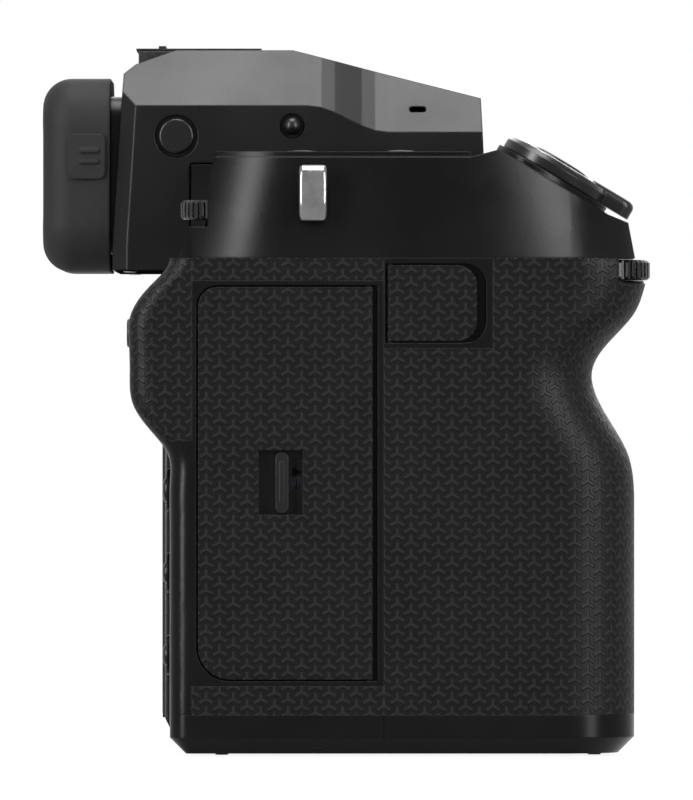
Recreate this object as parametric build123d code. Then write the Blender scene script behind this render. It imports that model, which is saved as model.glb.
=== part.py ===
from build123d import *
import math
import os

# A mirrorless medium format camera body with no lens on it, and its viewfinder unit, which slides off.
# +X is the user's left, -X the grip side, +Y the rear and +Z up. All sizes are in millimetres.
# The origin is on the base plane, under the optical axis, four millimetres behind the front face.

# Casing
GRIP_X = -84.5          # flat side of the grip
GRIP_INNER_X = -52.0    # where the grip meets the front of the body
LEFT_X = 62.5           # connector side
REAR_Y = 34.1           # rear face of the body
FRONT_Y = -4.0          # front face of the body
NOSE_Y = -41.0          # front of the grip
SEAM_Y = -0.4           # front cover meets rear cover
BASE_Z = 6.3            # base cover meets the covers above it
SHOULDER_Z = 79.9       # top cover meets the covers below it
DECK_Z = 96.2           # top deck of the grip side
LEFT_DECK_Z = 90.0      # top deck of the connector side
HUMP_Z = DECK_Z - 0.2   # top of the fixed hump, which the viewfinder rides on
FOOT_RISE = 0.5         # feet below the base plane
WALL = 2.0              # casting walls
SKIN = 1.2              # rubber skin
OVERRUN = 2.0           # how far a cutter runs past what it cuts

# Grip
NOSE_ROUND = 12.0       # rounding of the grip's front corners
WAIST_DEPTH = 7.0       # hollow for the middle finger
THUMB_DEPTH = 6.6       # how far the thumb rest stands out at the rear
SIDE_ROUND = 3.6        # rounding of the side at the rear
LEFT_ROUND = 7.0        # rounding of the corners of the connector side
THUMB_LOW_Z = 50.5      # where the rubber of the thumb rest begins
SKIN_REAR_Y = 30.5      # rear edge of the rubber on the connector side

# Top cover
SHOULDER_REAR_Y = 32.8  # foot of the rear slope
DECK_REAR_Y = 26.8      # top of the rear slope
RIDGE_REAR_Y = -14.5    # the low ridge in front of the deck
RIDGE_Y = -19.0         # top of the sloping deck that carries the shutter button
RIDGE_RISE = 1.2
SLOPE_ANGLE = 30.8
SLOPE_END_Y = -36.6     # foot of the sloping deck
LIP_Y = -39.9           # lip in front of it
LIP_DROP = 1.3
SIDE_LEAN = 7.0         # lean of the side walls, degrees
HUMP_HALF_W = 27.0
HUMP_FOOT_HALF_W = 34.0
HUMP_FRONT_Y = -14.0
HUMP_BROW_Z = 84.0      # where the front of the hump starts to lean forward
BROW_Y = -9.4           # front of the top cover between the grip and the hump
BROW_LOW_Z = 87.0

# Lens mount and imaging
AXIS_Z = 44.0           # height of the optical axis
MOUNT_BORE_R = 32.5     # throat of the lens mount
MOUNT_R = 37.5          # outside of the mount ring
FLANGE_Y = -6.1         # face that a lens seats on
FLANGE_DISTANCE = 26.7  # flange to sensor
SENSOR_W = 43.8
SENSOR_H = 32.9

# Viewfinder unit
FINDER_HALF_W = 26.5    # half width of its lower walls
FINDER_LEAN = 1.0       # how far the upper walls lean in, for each unit of height
FINDER_REAR_Y = 44.4
FINDER_REAR_TOP_Y = 42.6
FINDER_FRONT_Y = -17.2
FINDER_TOP_Z = 115.2
FINDER_BROW_Y = 14.5    # where the roof starts to fall to the front
FINDER_ROOF_REAR_Y = 34.0  # where it starts to fall to the rear
FINDER_FRONT_TOP_Z = 107.0
FINDER_BREAK_Z = 105.8  # lower walls meet upper walls, at the rear
FINDER_FRONT_BREAK_Z = 101.4
FINDER_CURVE_Y = 12.0   # where that line starts to curve down
FINDER_DIP_Y = -1.4     # where it has come down to its front height
FINDER_CURVE_STEPS = 6
FINDER_LOW_Z = 78.5     # bottom of the eyepiece end
FINDER_STEP_Y = 31.6    # where the eyepiece end drops behind the body
FINDER_SHELL = 1.8
EYECUP_FRONT_Y = 44.9
EYECUP_REAR_Y = 56.1
EYECUP_W = 46.0
EYECUP_TOP_Z = 110.5
EYECUP_LOW_Z = 78.3

# Monitor
MONITOR_W = 76.0
MONITOR_H = 54.0
MONITOR_REAR_Y = 36.0
MONITOR_FRONT_Y = 30.0
MONITOR_MID_X = 4.0
MONITOR_LOW_Z = 1.4
RECESS_FLOOR_Y = 27.0
RECESS_MARGIN = 2.0     # room beside the panel for the ears of its arm

# Clearances
RUN = 0.06              # radial clearance of a shaft in its hole
GAP = 0.3               # shut line round a moving cover or button
FACE_GAP = 0.15         # between flat faces of bodies that slide past each other


def block(x0, x1, y0, y1, z0, z1):
    return Pos((x0 + x1) / 2, (y0 + y1) / 2, (z0 + z1) / 2) * Box(x1 - x0, y1 - y0, z1 - z0)


def side_slab(face, x0, x1):
    # A face drawn in (y, z), thickened along X
    return extrude(Plane((x0, 0, 0), x_dir=(0, 1, 0), z_dir=(1, 0, 0)) * face, x1 - x0)


def plan_slab(face, z0, z1):
    # A face drawn in (x, y), thickened upwards
    return extrude(Pos(0, 0, z0) * face, z1 - z0)


def front_slab(face, y0, y1):
    # A face drawn in (x, z), thickened along Y
    return extrude(Plane((0, y1, 0), x_dir=(1, 0, 0), z_dir=(0, -1, 0)) * face, y1 - y0)


def polygon(*points):
    return make_face(Polyline(*points, close=True))


def rod_x(r, x0, x1, y, z):
    return Pos((x0 + x1) / 2, y, z) * Rot(0, 90, 0) * Cylinder(r, x1 - x0)


def rod_y(r, x, y0, y1, z):
    return Pos(x, (y0 + y1) / 2, z) * Rot(90, 0, 0) * Cylinder(r, y1 - y0)


def rod_z(r, x, y, z0, z1):
    return Pos(x, y, (z0 + z1) / 2) * Cylinder(r, z1 - z0)


def round_rect(w, h, r, u=0, v=0):
    return Pos(u, v) * RectangleRounded(w, h, r)


def soften(solid, radius, test):
    return fillet(solid.edges().filter_by(test), radius)


def cap_y(r, x, y0, y1, z):
    # A round button along Y whose outer rim, at y1, is softened
    cap = rod_y(r, x, min(y0, y1), max(y0, y1), z)
    rim = abs(y1 - y0) / 4
    return soften(cap, rim, lambda e: e.geom_type == GeomType.CIRCLE and abs(e.center().Y - y1) < rim / 2)


def cap_z(r, x, y, z0, z1):
    # A round button along Z whose top rim is softened
    cap = rod_z(r, x, y, z0, z1)
    rim = (z1 - z0) / 4
    return soften(cap, rim, lambda e: e.geom_type == GeomType.CIRCLE and abs(e.center().Z - z1) < rim / 2)


def ribbed_wheel(r, height, ribs, depth):
    # A dial with upright finger ribs and softened rims
    wheel = Cylinder(r, height)
    wheel = chamfer(wheel.edges().filter_by(GeomType.CIRCLE), height / 7)
    groove_w = math.pi * r / ribs
    cuts = [Rot(0, 0, 360 * i / ribs) * Pos(r, 0, 0) * Box(2 * depth, groove_w,
                                                           2 * height) for i in range(ribs)]
    return wheel - cuts


# Side outline of the grip: shares of the waist and thumb depths at even steps up the grip
NOSE_SHARES = (0, 0, 0, 0, 0, 0, 0, 0, 0.01, 0.12, 0.45, 0.83, 0.98, 0.62, 0.03, -0.24, -0.2)
THUMB_SHARES = (0, 0, 0, 0, 0, 0, 0, 0, 0, 0.02, 0.5, 0.93, 0.98, 1.0, 0.96, 0.5, 0)
GRIP_TALL = SHOULDER_Z - BASE_Z


def grip_section(nose_share, thumb_share, z, inset):
    side, inner = GRIP_X + inset, GRIP_INNER_X - inset
    nose = NOSE_Y + inset + nose_share * WAIST_DEPTH
    thumb = REAR_Y - inset + thumb_share * THUMB_DEPTH
    outline = polygon((side, thumb), (side, nose), (inner, nose), (inner, thumb))
    outline = fillet(outline.vertices().filter_by(lambda v: v.Y < 0), NOSE_ROUND - inset)
    outline = fillet(outline.vertices().filter_by(lambda v: v.Y > REAR_Y / 2), SIDE_ROUND - inset)
    return Pos(0, 0, z) * outline


def grip_form(inset):
    # The grip with its thumb rest, drawn in by inset, for the skin and for what lies under it
    steps = len(NOSE_SHARES) - 1
    sections = []
    for i, (nose_share, thumb_share) in enumerate(zip(NOSE_SHARES, THUMB_SHARES)):
        sections.append(grip_section(nose_share, thumb_share, BASE_Z + GRIP_TALL * i / steps, inset))
    return loft(sections)


def body_outline(inset):
    # Plan of the body beside the grip. Its rear face has no skin, so it isn't drawn in
    x0, x1 = GRIP_INNER_X - NOSE_ROUND, LEFT_X - inset
    face = polygon((x0, FRONT_Y + inset), (x1, FRONT_Y + inset), (x1, REAR_Y), (x0, REAR_Y))
    return fillet(face.vertices().filter_by(lambda v: v.X > 0), LEFT_ROUND - inset)


def body_form(inset):
    return plan_slab(body_outline(inset), BASE_Z, SHOULDER_Z)


# Card door, on the side of the grip
DOOR_FRONT_Y = 1.4
DOOR_REAR_Y = 29.5
DOOR_LOW_Z = 12.0
DOOR_TOP_Z = 75.2
DOOR_THICK = 2.2
DOOR_FRAME = 1.05       # smooth band round the door
DOOR_HINGE_GAP = 0.8
DOOR_TOP_ROUND = 3.1
DOOR_LOW_ROUND = 5.2
HINGE_PIN_R = 0.45
HINGE_PIN_LONG = 1.0
FRAME_REAR_Y = DOOR_REAR_Y + DOOR_FRAME
FRAME_LOW_Z = DOOR_LOW_Z - DOOR_FRAME
FRAME_TOP_Z = DOOR_TOP_Z + DOOR_FRAME
DOOR_AXIS_X = GRIP_X + DOOR_THICK / 2
DOOR_AXIS_Y = DOOR_FRONT_Y + DOOR_THICK / 4
SLOT_REAR_Y = DOOR_REAR_Y - WALL      # card window behind the door
SLOT_FRONT_Y = DOOR_FRONT_Y + 2 * WALL
SLOT_LOW_Z = DOOR_LOW_Z + WALL
SLOT_TOP_Z = DOOR_TOP_Z - WALL

# Remote terminal flap, in front of the door
FLAP_REAR_Y = SEAM_Y - 0.5 * DOOR_FRAME
FLAP_FRONT_Y = -15.4
FLAP_LOW_Z = 66.5
FLAP_TOP_Z = 78.7
FLAP_THICK = 1.5
FLAP_ROUND = 3.2
FLAP_NOTCH = 1.5        # finger gap in front of the flap
FLAP_FRAME = 1.1
FLAP_AXIS_X = GRIP_X + FLAP_THICK / 2
FLAP_AXIS_Y = FLAP_REAR_Y - FLAP_THICK / 3
REMOTE_JACK_Y = (FLAP_FRONT_Y + FLAP_REAR_Y) / 2
REMOTE_JACK_Z = (FLAP_LOW_Z + FLAP_TOP_Z) / 2
REMOTE_JACK_R = 2.4

# Connector side: two covers over the terminals
COVER_REAR_Y = 28.0
COVER_FRONT_Y = 5.0
COVER_LOW_Z = 12.0
COVER_SPLIT_Z = 42.0
COVER_RIB = 2.0         # between the two covers
COVER_PIN_LONG = 0.75   # how far the hinge pins stand out of a cover's ends
COVER_TOP_Z = 72.0
COVER_THICK = 2.0
COVER_ROUND = 1.5
COVER_HINGE_Y = COVER_FRONT_Y + COVER_THICK / 2
COVER_HINGE_X = LEFT_X - COVER_THICK / 2
LOWER_COVER_TOP_Z = COVER_SPLIT_Z - COVER_RIB / 2
UPPER_COVER_LOW_Z = COVER_SPLIT_Z + COVER_RIB / 2

# Front dial, rear dial and the shutter button's group
FRONT_DIAL_R = 8.0
FRONT_DIAL_X = -69.0
FRONT_DIAL_FRONT_Y = -43.6
FRONT_DIAL_Y = FRONT_DIAL_FRONT_Y + FRONT_DIAL_R
FRONT_DIAL_LOW_Z = 76.4
FRONT_DIAL_TALL = 3.3
REAR_DIAL_R = 9.0
REAR_DIAL_X = -71.0
REAR_DIAL_REAR_Y = 32.5
REAR_DIAL_Y = REAR_DIAL_REAR_Y - REAR_DIAL_R
REAR_DIAL_LOW_Z = DECK_Z - 10.0
REAR_DIAL_TALL = 3.1
DIAL_SHAFT_R = 1.5
RELEASE_X = -69.0
RELEASE_Y = -27.4
RELEASE_PLATE_R = 10.1
RELEASE_PLATE_TALL = 1.0
LEVER_R = 9.4
LEVER_TALL = 2.1
LEVER_INNER_R = 6.3
BUTTON_R = 5.2
BUTTON_TALL = 4.0
BUTTON_STEM_R = 1.6
BUTTON_TRAVEL = 0.8


# Sizes of small pieces
SHOULDER_INNER_X = 30.0   # inner end of the grip side's deck
LUG_TALL = 9.3
LUG_W = 4.6
LUG_ROUND = 1.9
LUG_BAR = 1.1
LUG_WALL_GRIP_X = -83.1   # the lugs run from inside the leaning walls to this far out
LUG_OUT_GRIP_X = -87.0
LUG_WALL_LEFT_X = 60.6
LUG_OUT_LEFT_X = 65.4
BASE_CHAMFER = 2.6
RING_EDGE = 0.5
LUG_TOOTH = 2.0           # how far a bayonet tooth reaches in from the ring
MOUNT_TEETH = 3
MOUNT_TOOTH_ANGLE = 58.0
MOUNT_TOOTH_TALL = 1.4
SCREW_COUNT = 6
SCREW_R = 1.1
LENS_PIN_R = 1.1
LENS_PIN_RISE = 1.0
CONTACT_TALL = 3.0
CONTACT_DEEP = 3.0
CONTACT_ANGLE = 44.0
CONTACT_PINS = 12
CONTACT_PIN_R = 0.5
CHASSIS_Y = 10.4
POST_X = 32.0
POST_Z = 27.0
POST_R = 2.6
STABILISER_Y = 23.4
SHUTTER_DEEP = 5.0
SHUTTER_PLATE = 1.0
SHUTTER_SIDE = 3.0
SHUTTER_HALF_TALL = 37.0
LEAF_W = 47.0
LEAF_TALL = 17.2
LEAF_THICK = 0.3
LEAF_PITCH = 0.62
CARRIAGE_THICK = 1.3
SENSOR_GLASS = 0.8
BOARD_THICK = 1.4
CHIP = 9.0
CHIP_TALL = 1.2
CARD_Z = 44.0
CARD_TALL = 30.0
CARD_LONG = 38.0
CARD_THICK = 3.0
JACKS = ((62.0, 8.0, 8.0), (50.0, 8.0, 8.0), (34.0, 13.0, 6.0), (21.0, 9.5, 5.0))
JACK_WALL = 0.8
CASE_SCREWS = ((-46.0, 20.0), (-44.0, 2.0), (48.0, 2.0), (48.0, 20.0))
BUTTON_DISH = 0.6
BUTTON_DISH_R = 14.0
TAB_W = 6.0
TAB_REACH = 3.2
POWER_TAB_REACH = 4.5
POWER_TAB_RISE = 0.6
RIB_DEEP = 0.35
LATCH_Y = 16.0
LATCH_Z = 43.7
LATCH_W = 2.1
LATCH_TALL = 9.8
LATCH_DEEP = 1.3
LATCH_ROOM_FRONT = 3.4
LATCH_ROOM_REAR = 3.8
LATCH_STEM_R = 0.7
LATCH_TRAVEL = 2.0
BOLT_W = 6.0
HINGE_INSET = 4.0
HINGE_LONG = 8.0
EAR_R = 1.0
MONITOR_BORDER = 1.6
FINDER_CHAMFER = 2.4
POCKET_DEEP = 1.1
BUTTON_RISE = 0.45
MIC_Y, MIC_Z, MIC_LONG, MIC_TALL = -6.2, 105.2, 2.75, 0.9
EYECUP_ROUND = 8.0
DIOPTER_TALL = 2.2
SHOE_REAR_Y = 40.3
SHOE_RIDGE_Y = 36.4
SHOE_COVER_RISE = 0.5


def slope_z(y):
    # Height of the sloping deck at y
    return DECK_Z + RIDGE_RISE - (RIDGE_Y - y) * math.tan(math.radians(SLOPE_ANGLE))


def slope_rear_z(y):
    # Height of the rear slope of the top cover at y
    share = (SHOULDER_REAR_Y - y) / (SHOULDER_REAR_Y - DECK_REAR_Y)
    return SHOULDER_Z + share * (DECK_Z - SHOULDER_Z)


def on_slope(shape):
    # Places a shape drawn about the shutter button's axis, with the deck at height 0
    return Pos(RELEASE_X, RELEASE_Y, slope_z(RELEASE_Y)) * Rot(SLOPE_ANGLE, 0, 0) * shape


def door_face(grow):
    y0, y1 = DOOR_FRONT_Y - grow, DOOR_REAR_Y + grow
    z0, z1 = DOOR_LOW_Z - grow, DOOR_TOP_Z + grow
    mid_y = (y0 + y1) / 2
    face = polygon((y0, z0), (y1, z0), (y1, z1), (y0, z1))
    face = fillet(face.vertices().filter_by(lambda v: v.X > mid_y and v.Y < AXIS_Z), DOOR_LOW_ROUND + grow)
    return fillet(face.vertices().filter_by(lambda v: v.X > mid_y and v.Y > AXIS_Z), DOOR_TOP_ROUND + grow)


def flap_face(grow_front, grow):
    y0, y1 = FLAP_FRONT_Y - grow_front, FLAP_REAR_Y + grow
    z0, z1 = FLAP_LOW_Z - grow, FLAP_TOP_Z + grow
    mid_y = (y0 + y1) / 2
    face = polygon((y0, z0), (y1, z0), (y1, z1), (y0, z1))
    return fillet(face.vertices().filter_by(lambda v: v.X < mid_y), FLAP_ROUND + grow)


def cover_hinge_room(z0, z1):
    # Squares the hinge end of a terminal cover's seat, where the cover's full height swings
    return block(LEFT_X - COVER_THICK - GAP, LEFT_X + OVERRUN, COVER_FRONT_Y - GAP,
                 COVER_FRONT_Y + COVER_ROUND + GAP,
                 z0 - GAP, z1 + GAP)


def cover_block(z0, z1, grow):
    y_mid, z_mid = (COVER_FRONT_Y + COVER_REAR_Y) / 2, (z0 + z1) / 2
    face = round_rect(COVER_REAR_Y - COVER_FRONT_Y + 2 * grow, z1 - z0 + 2 * grow, COVER_ROUND + grow, y_mid,
                      z_mid)
    return side_slab(face, LEFT_X - COVER_THICK - grow, LEFT_X + (OVERRUN if grow else 0))


# Rear controls: name, x, z, radius of the cap, and how far its cap stands out of the rear face
REAR_BUTTONS = {"menu_button": (-70.0, 42.4, 2.0), "display_button": (-70.0, 29.0, 1.75),
                "playback_button": (-70.0, 15.7, 1.75), "focus_on_button": (-45.0, 73.0, 2.6)}
BEZEL_WIDER = 1.5
BEZEL_RISE = 0.6
REAR_CAP_RISE = 1.2
REAR_TRAVEL = 0.4
QUICK_X, QUICK_Z, QUICK_R = -75.5, 67.8, 2.3
QUICK_POCKET_Y = 39.1
STICK_X, STICK_Z = -45.0, 63.0
STICK_WELL_R = 5.2
STICK_R = 2.6
TOP_BUTTON_X = -39.0
TOP_BUTTON_YS = (-3.2, 13.0)
TOP_BUTTON_R = 2.9
TOP_BUTTON_TOP_Z = DECK_Z + 1.3
DISPLAY_RISE = 0.9
DISPLAY_X0, DISPLAY_X1 = -79.5, -45.5
DISPLAY_LIP = 2.2
MODE_DIAL_X, MODE_DIAL_Y, MODE_DIAL_R = 47.0, 14.0, 10.5
MODE_DIAL_TALL = 6.2
SELECT_LEVER_R = 11.8
SELECT_LEVER_TALL = 2.0

# Monitor hinges
EAR_THICK = 1.2
SWING_Y = 31.0
SWING_PIN_R = 0.9
SWING_KNUCKLE_R = 1.7
SWING_X = MONITOR_MID_X - MONITOR_W / 2 - 2 * GAP - EAR_THICK - SWING_KNUCKLE_R
SWING_POST_LOW_Z, SWING_POST_TOP_Z = 16.0, 42.0
SWING_KNUCKLE_TALL = 6.0
PANEL_X0 = MONITOR_MID_X - MONITOR_W / 2
PANEL_X1 = MONITOR_MID_X + MONITOR_W / 2
RECESS_X0 = SWING_X - SWING_KNUCKLE_R - GAP
RECESS_X1 = PANEL_X1 + RECESS_MARGIN
RECESS_TOP_Z = MONITOR_LOW_Z + MONITOR_H + WALL / 2
SWING_PLATE = 1.0
SWING_PLATE_Y = RECESS_FLOOR_Y + GAP
ARM_PLATE_Y = SWING_PLATE_Y + SWING_PLATE + GAP
ARM_PLATE = 1.0
ARM_AXIS_Y = ARM_PLATE_Y + ARM_PLATE / 2
ARM_AXIS_Z = 3.6
ARM_BARREL_R = 1.1
ARM_PIN_R = 0.55
TILT_AXIS_Y = 34.8
TILT_AXIS_Z = 55.0
TILT_PIN_R = 0.5

# Battery and its door, in the base under the grip
BATTERY_X0, BATTERY_X1 = -80.0, -60.3
BATTERY_Y0, BATTERY_Y1 = -29.5, 9.0
BATTERY_TALL = 47.5
BATTERY_DOOR_GAP = 1.4
BATTERY_DOOR_THICK = 2.2

# Viewfinder mounting rail, lens release and details
RAIL_FOOT_HALF_W = 9.0
RAIL_NECK_HALF_W = 6.0
RAIL_LOW_Z = HUMP_Z - 5.2
RAIL_STEP_Z = HUMP_Z - 2.8
RAIL_FRONT_Y = 2.0
RAIL_FIT = 0.15
EYEPIECE_Z = 94.4
EYEPIECE_R = 10.5
VIEW_BUTTON_Y, VIEW_BUTTON_Z, VIEW_BUTTON_R = 33.8, 100.7, 2.93
CATCH_Y, CATCH_Z, CATCH_R = 14.6, 102.4, 1.45
DIOPTER_Y, DIOPTER_Z, DIOPTER_R = 37.0, 98.0, 4.0
SHOE_SLOT_HALF_W = 9.3
SHOE_LIP_HALF_W = 6.25
SHOE_SLOT_TALL = 2.05
SHOE_LIP_TALL = 1.3
SHOE_BASE_TALL = 0.9
SHOE_SIDE = 1.2
SHOE_FRONT_Y = 19.8
LENS_BUTTON_X, LENS_BUTTON_Z, LENS_BUTTON_R = -41.5, 20.0, 4.2
LENS_PIN_ANGLE = 211.0
LUG_Y, LUG_Z = 11.0, DECK_Z - 6.0


def casing():
    grip0, grip1, grip2 = grip_form(0), grip_form(SKIN), grip_form(SKIN + WALL)
    core = grip1 + body_form(SKIN)
    skin = (grip0 + body_form(0)) - core
    in_front = block(GRIP_X - OVERRUN, LEFT_X + OVERRUN, 2 * NOSE_Y, SEAM_Y, 0, DECK_Z)
    behind = block(GRIP_X - OVERRUN, LEFT_X + OVERRUN, SEAM_Y, 2 * REAR_Y, 0, DECK_Z)
    grip_end = GRIP_INNER_X + WALL
    side_zone = block(GRIP_X - OVERRUN, grip_end, SEAM_Y, FRAME_REAR_Y, 0, DECK_Z)
    margin_zone = block(GRIP_X - OVERRUN, grip_end, FRAME_REAR_Y, 2 * REAR_Y, 0, THUMB_LOW_Z)
    thumb_zone = block(GRIP_X - OVERRUN, grip_end, FRAME_REAR_Y, 2 * REAR_Y, THUMB_LOW_Z, DECK_Z)
    frame_zone = block(GRIP_X - OVERRUN, grip_end, SEAM_Y, FRAME_REAR_Y, FRAME_LOW_Z, FRAME_TOP_Z)
    inner_x = LEFT_X - SKIN - WALL
    hollow = grip2 + block(GRIP_INNER_X - 2 * WALL, inner_x, FRONT_Y + SKIN + WALL, RECESS_FLOOR_Y - WALL,
                           BASE_Z, SHOULDER_Z)
    door_cut = side_slab(door_face(GAP), GRIP_X - OVERRUN, GRIP_X + DOOR_THICK + GAP)
    door_cut += block(GRIP_X - OVERRUN, GRIP_X + DOOR_THICK + GAP, DOOR_FRONT_Y - DOOR_HINGE_GAP, AXIS_Z / 2,
                      DOOR_LOW_Z - GAP, DOOR_TOP_Z + GAP) & side_slab(
        polygon((DOOR_FRONT_Y - DOOR_HINGE_GAP, DOOR_LOW_Z - GAP), (SLOT_FRONT_Y, DOOR_LOW_Z - GAP),
                (SLOT_FRONT_Y, DOOR_TOP_Z + GAP), (DOOR_FRONT_Y - DOOR_HINGE_GAP, DOOR_TOP_Z + GAP)),
        GRIP_X - OVERRUN, GRIP_X + DOOR_THICK + GAP)
    card_window = block(GRIP_X, GRIP_X + 4 * WALL, SLOT_FRONT_Y, SLOT_REAR_Y, SLOT_LOW_Z, SLOT_TOP_Z)
    door_pins = rod_z(HINGE_PIN_R + RUN, DOOR_AXIS_X, DOOR_AXIS_Y, DOOR_LOW_Z - HINGE_PIN_LONG - GAP,
                      DOOR_TOP_Z + HINGE_PIN_LONG + GAP)

    flap_zone = block(GRIP_X - OVERRUN, GRIP_X + 2 * WALL, FLAP_FRONT_Y - FLAP_NOTCH - FLAP_FRAME, SEAM_Y,
                      FLAP_LOW_Z - FLAP_FRAME, SHOULDER_Z)
    flap_cut = side_slab(flap_face(FLAP_NOTCH, GAP), GRIP_X - OVERRUN, GRIP_X + FLAP_THICK + GAP)
    flap_pins = rod_z(HINGE_PIN_R + RUN, FLAP_AXIS_X, FLAP_AXIS_Y, FLAP_LOW_Z - HINGE_PIN_LONG - GAP,
                      FLAP_TOP_Z + HINGE_PIN_LONG + GAP)
    remote_hole = rod_x(REMOTE_JACK_R + RUN, GRIP_X, GRIP_X + 4 * WALL, REMOTE_JACK_Y, REMOTE_JACK_Z)

    throat_hole = rod_y(MOUNT_BORE_R, 0, FRONT_Y - OVERRUN, SEAM_Y + OVERRUN, AXIS_Z)
    mount_seat = rod_y(MOUNT_R, 0, FRONT_Y - OVERRUN, FRONT_Y + SKIN, AXIS_Z)
    dial_pocket = rod_z(FRONT_DIAL_R + GAP, FRONT_DIAL_X, FRONT_DIAL_Y, FRONT_DIAL_LOW_Z - GAP, DECK_Z)
    ledge = block(GRIP_X - OVERRUN, GRIP_INNER_X + OVERRUN / 4, 2 * NOSE_Y, FRONT_DIAL_Y - FRONT_DIAL_R / 3,
                  FRONT_DIAL_LOW_Z - 2 * GAP, DECK_Z)
    lens_button_hole = rod_y(LENS_BUTTON_R + GAP, LENS_BUTTON_X, FRONT_Y - OVERRUN, SEAM_Y + OVERRUN,
                             LENS_BUTTON_Z)

    front = (core & in_front) + (skin & flap_zone)
    dial_floor = block(GRIP_X + 2 * WALL, GRIP_INNER_X - WALL, NOSE_Y + WALL,
                       FRONT_DIAL_Y + FRONT_DIAL_R + WALL,
                       FRONT_DIAL_LOW_Z - GAP - WALL, FRONT_DIAL_LOW_Z - GAP)
    front = front - hollow - throat_hole - mount_seat
    throat = rod_y(MOUNT_BORE_R + WALL, 0, SEAM_Y - WALL, -FLANGE_Y, AXIS_Z)
    throat = throat - rod_y(MOUNT_BORE_R, 0, SEAM_Y - 2 * WALL, -FLANGE_Y + OVERRUN, AXIS_Z)
    front = front + throat + (dial_floor & grip1)
    front = front - flap_cut - flap_pins - remote_hole - dial_pocket - ledge - lens_button_hole
    front = front - rod_z(DIAL_SHAFT_R + RUN, FRONT_DIAL_X, FRONT_DIAL_Y, FRONT_DIAL_LOW_Z - 4 * WALL, DECK_Z)

    pin_x, pin_z = lens_pin_place()
    front = front - rod_y(LENS_PIN_R + RUN, pin_x, 2 * FRONT_Y, SEAM_Y + OVERRUN, pin_z)

    grip_skin = (skin & in_front & block(GRIP_X - OVERRUN, GRIP_INNER_X + WALL, 2 * NOSE_Y, SEAM_Y, 0,
                                         DECK_Z))
    grip_skin = grip_skin - flap_zone - ledge - dial_pocket
    body_skin = skin & block(GRIP_INNER_X + WALL, LEFT_X + OVERRUN, 2 * NOSE_Y, SKIN_REAR_Y, 0, DECK_Z)
    body_skin = body_skin - rod_y(MOUNT_R + GAP, 0, FRONT_Y - OVERRUN, SEAM_Y, AXIS_Z) - lens_button_hole
    cover_pins = rod_z(HINGE_PIN_R + RUN, COVER_HINGE_X, COVER_HINGE_Y, COVER_LOW_Z - HINGE_PIN_LONG,
                       COVER_TOP_Z + HINGE_PIN_LONG)
    cover_cuts = (cover_block(COVER_LOW_Z, LOWER_COVER_TOP_Z, GAP),
                  cover_block(UPPER_COVER_LOW_Z, COVER_TOP_Z, GAP),
                  cover_hinge_room(COVER_LOW_Z, LOWER_COVER_TOP_Z), cover_hinge_room(UPPER_COVER_LOW_Z, COVER_TOP_Z),
                  cover_pins)
    for cut in cover_cuts:
        body_skin = body_skin - cut

    corner = body_form(0) & block(LEFT_X - LEFT_ROUND, LEFT_X + OVERRUN, SKIN_REAR_Y, 2 * REAR_Y, 0, DECK_Z)
    rear = (core & behind) + (skin & margin_zone) + (skin & frame_zone) + corner
    recess = block(RECESS_X0, RECESS_X1, RECESS_FLOOR_Y, REAR_Y + OVERRUN, 0, RECESS_TOP_Z)
    post_z = (SWING_POST_LOW_Z, SWING_POST_TOP_Z)
    post = rod_z(SWING_KNUCKLE_R, SWING_X, SWING_Y, *post_z)
    post += block(RECESS_X0 - WALL, SWING_X, SWING_Y - SWING_KNUCKLE_R, SWING_Y, *post_z)
    rear = rear - hollow - recess - door_cut - card_window - door_pins
    for cut in cover_cuts:
        rear = rear - cut
    rear = rear + post - rod_z(SWING_PIN_R + RUN, SWING_X, SWING_Y, 0, SHOULDER_Z)
    jack_room = block(LEFT_X - 4 * WALL, LEFT_X, COVER_FRONT_Y + WALL, COVER_REAR_Y - WALL,
                      COVER_LOW_Z + WALL, COVER_TOP_Z - WALL)
    rib = block(LEFT_X - 2 * WALL - GAP, LEFT_X - SKIN, COVER_FRONT_Y, COVER_REAR_Y, LOWER_COVER_TOP_Z + GAP,
                UPPER_COVER_LOW_Z - GAP)
    rear = rear - jack_room + (rib - cover_pins)
    rear = rear - block(-FINDER_HALF_W - GAP, FINDER_HALF_W + GAP, FINDER_STEP_Y - GAP, REAR_Y + OVERRUN,
                        FINDER_LOW_Z - GAP, DECK_Z)
    for x, z, r in REAR_BUTTONS.values():
        rear = rear + rod_y(r + BEZEL_WIDER, x, REAR_Y - WALL, REAR_Y + BEZEL_RISE, z)
        rear = rear - rod_y(r + GAP / 2, x, REAR_Y - WALL, REAR_Y + OVERRUN, z)
        rear = rear - rod_y(r / 2 + RUN, x, REAR_Y - 8 * WALL, REAR_Y, z)
    rear = rear - rod_y(STICK_WELL_R, STICK_X, REAR_Y - 2 * WALL, REAR_Y + OVERRUN, STICK_Z)
    quick_hole = rod_y(QUICK_R + GAP / 2, QUICK_X, QUICK_POCKET_Y, 2 * REAR_Y, QUICK_Z)
    rear = rear - quick_hole - rod_y(QUICK_R / 2 + RUN, QUICK_X, REAR_Y / 2, 2 * REAR_Y, QUICK_Z)
    side_skin = (skin & side_zone) - frame_zone
    thumb = (skin & thumb_zone) - quick_hole
    thumb = thumb - rod_y(QUICK_R / 2 + RUN, QUICK_X, REAR_Y / 2, 2 * REAR_Y, QUICK_Z)
    skins = Compound(grip_skin.solids() + side_skin.solids() + body_skin.solids())
    return {"front_cover": front, "rear_cover": rear, "rubber_skin": skins, "thumb_rest": thumb}


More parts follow.
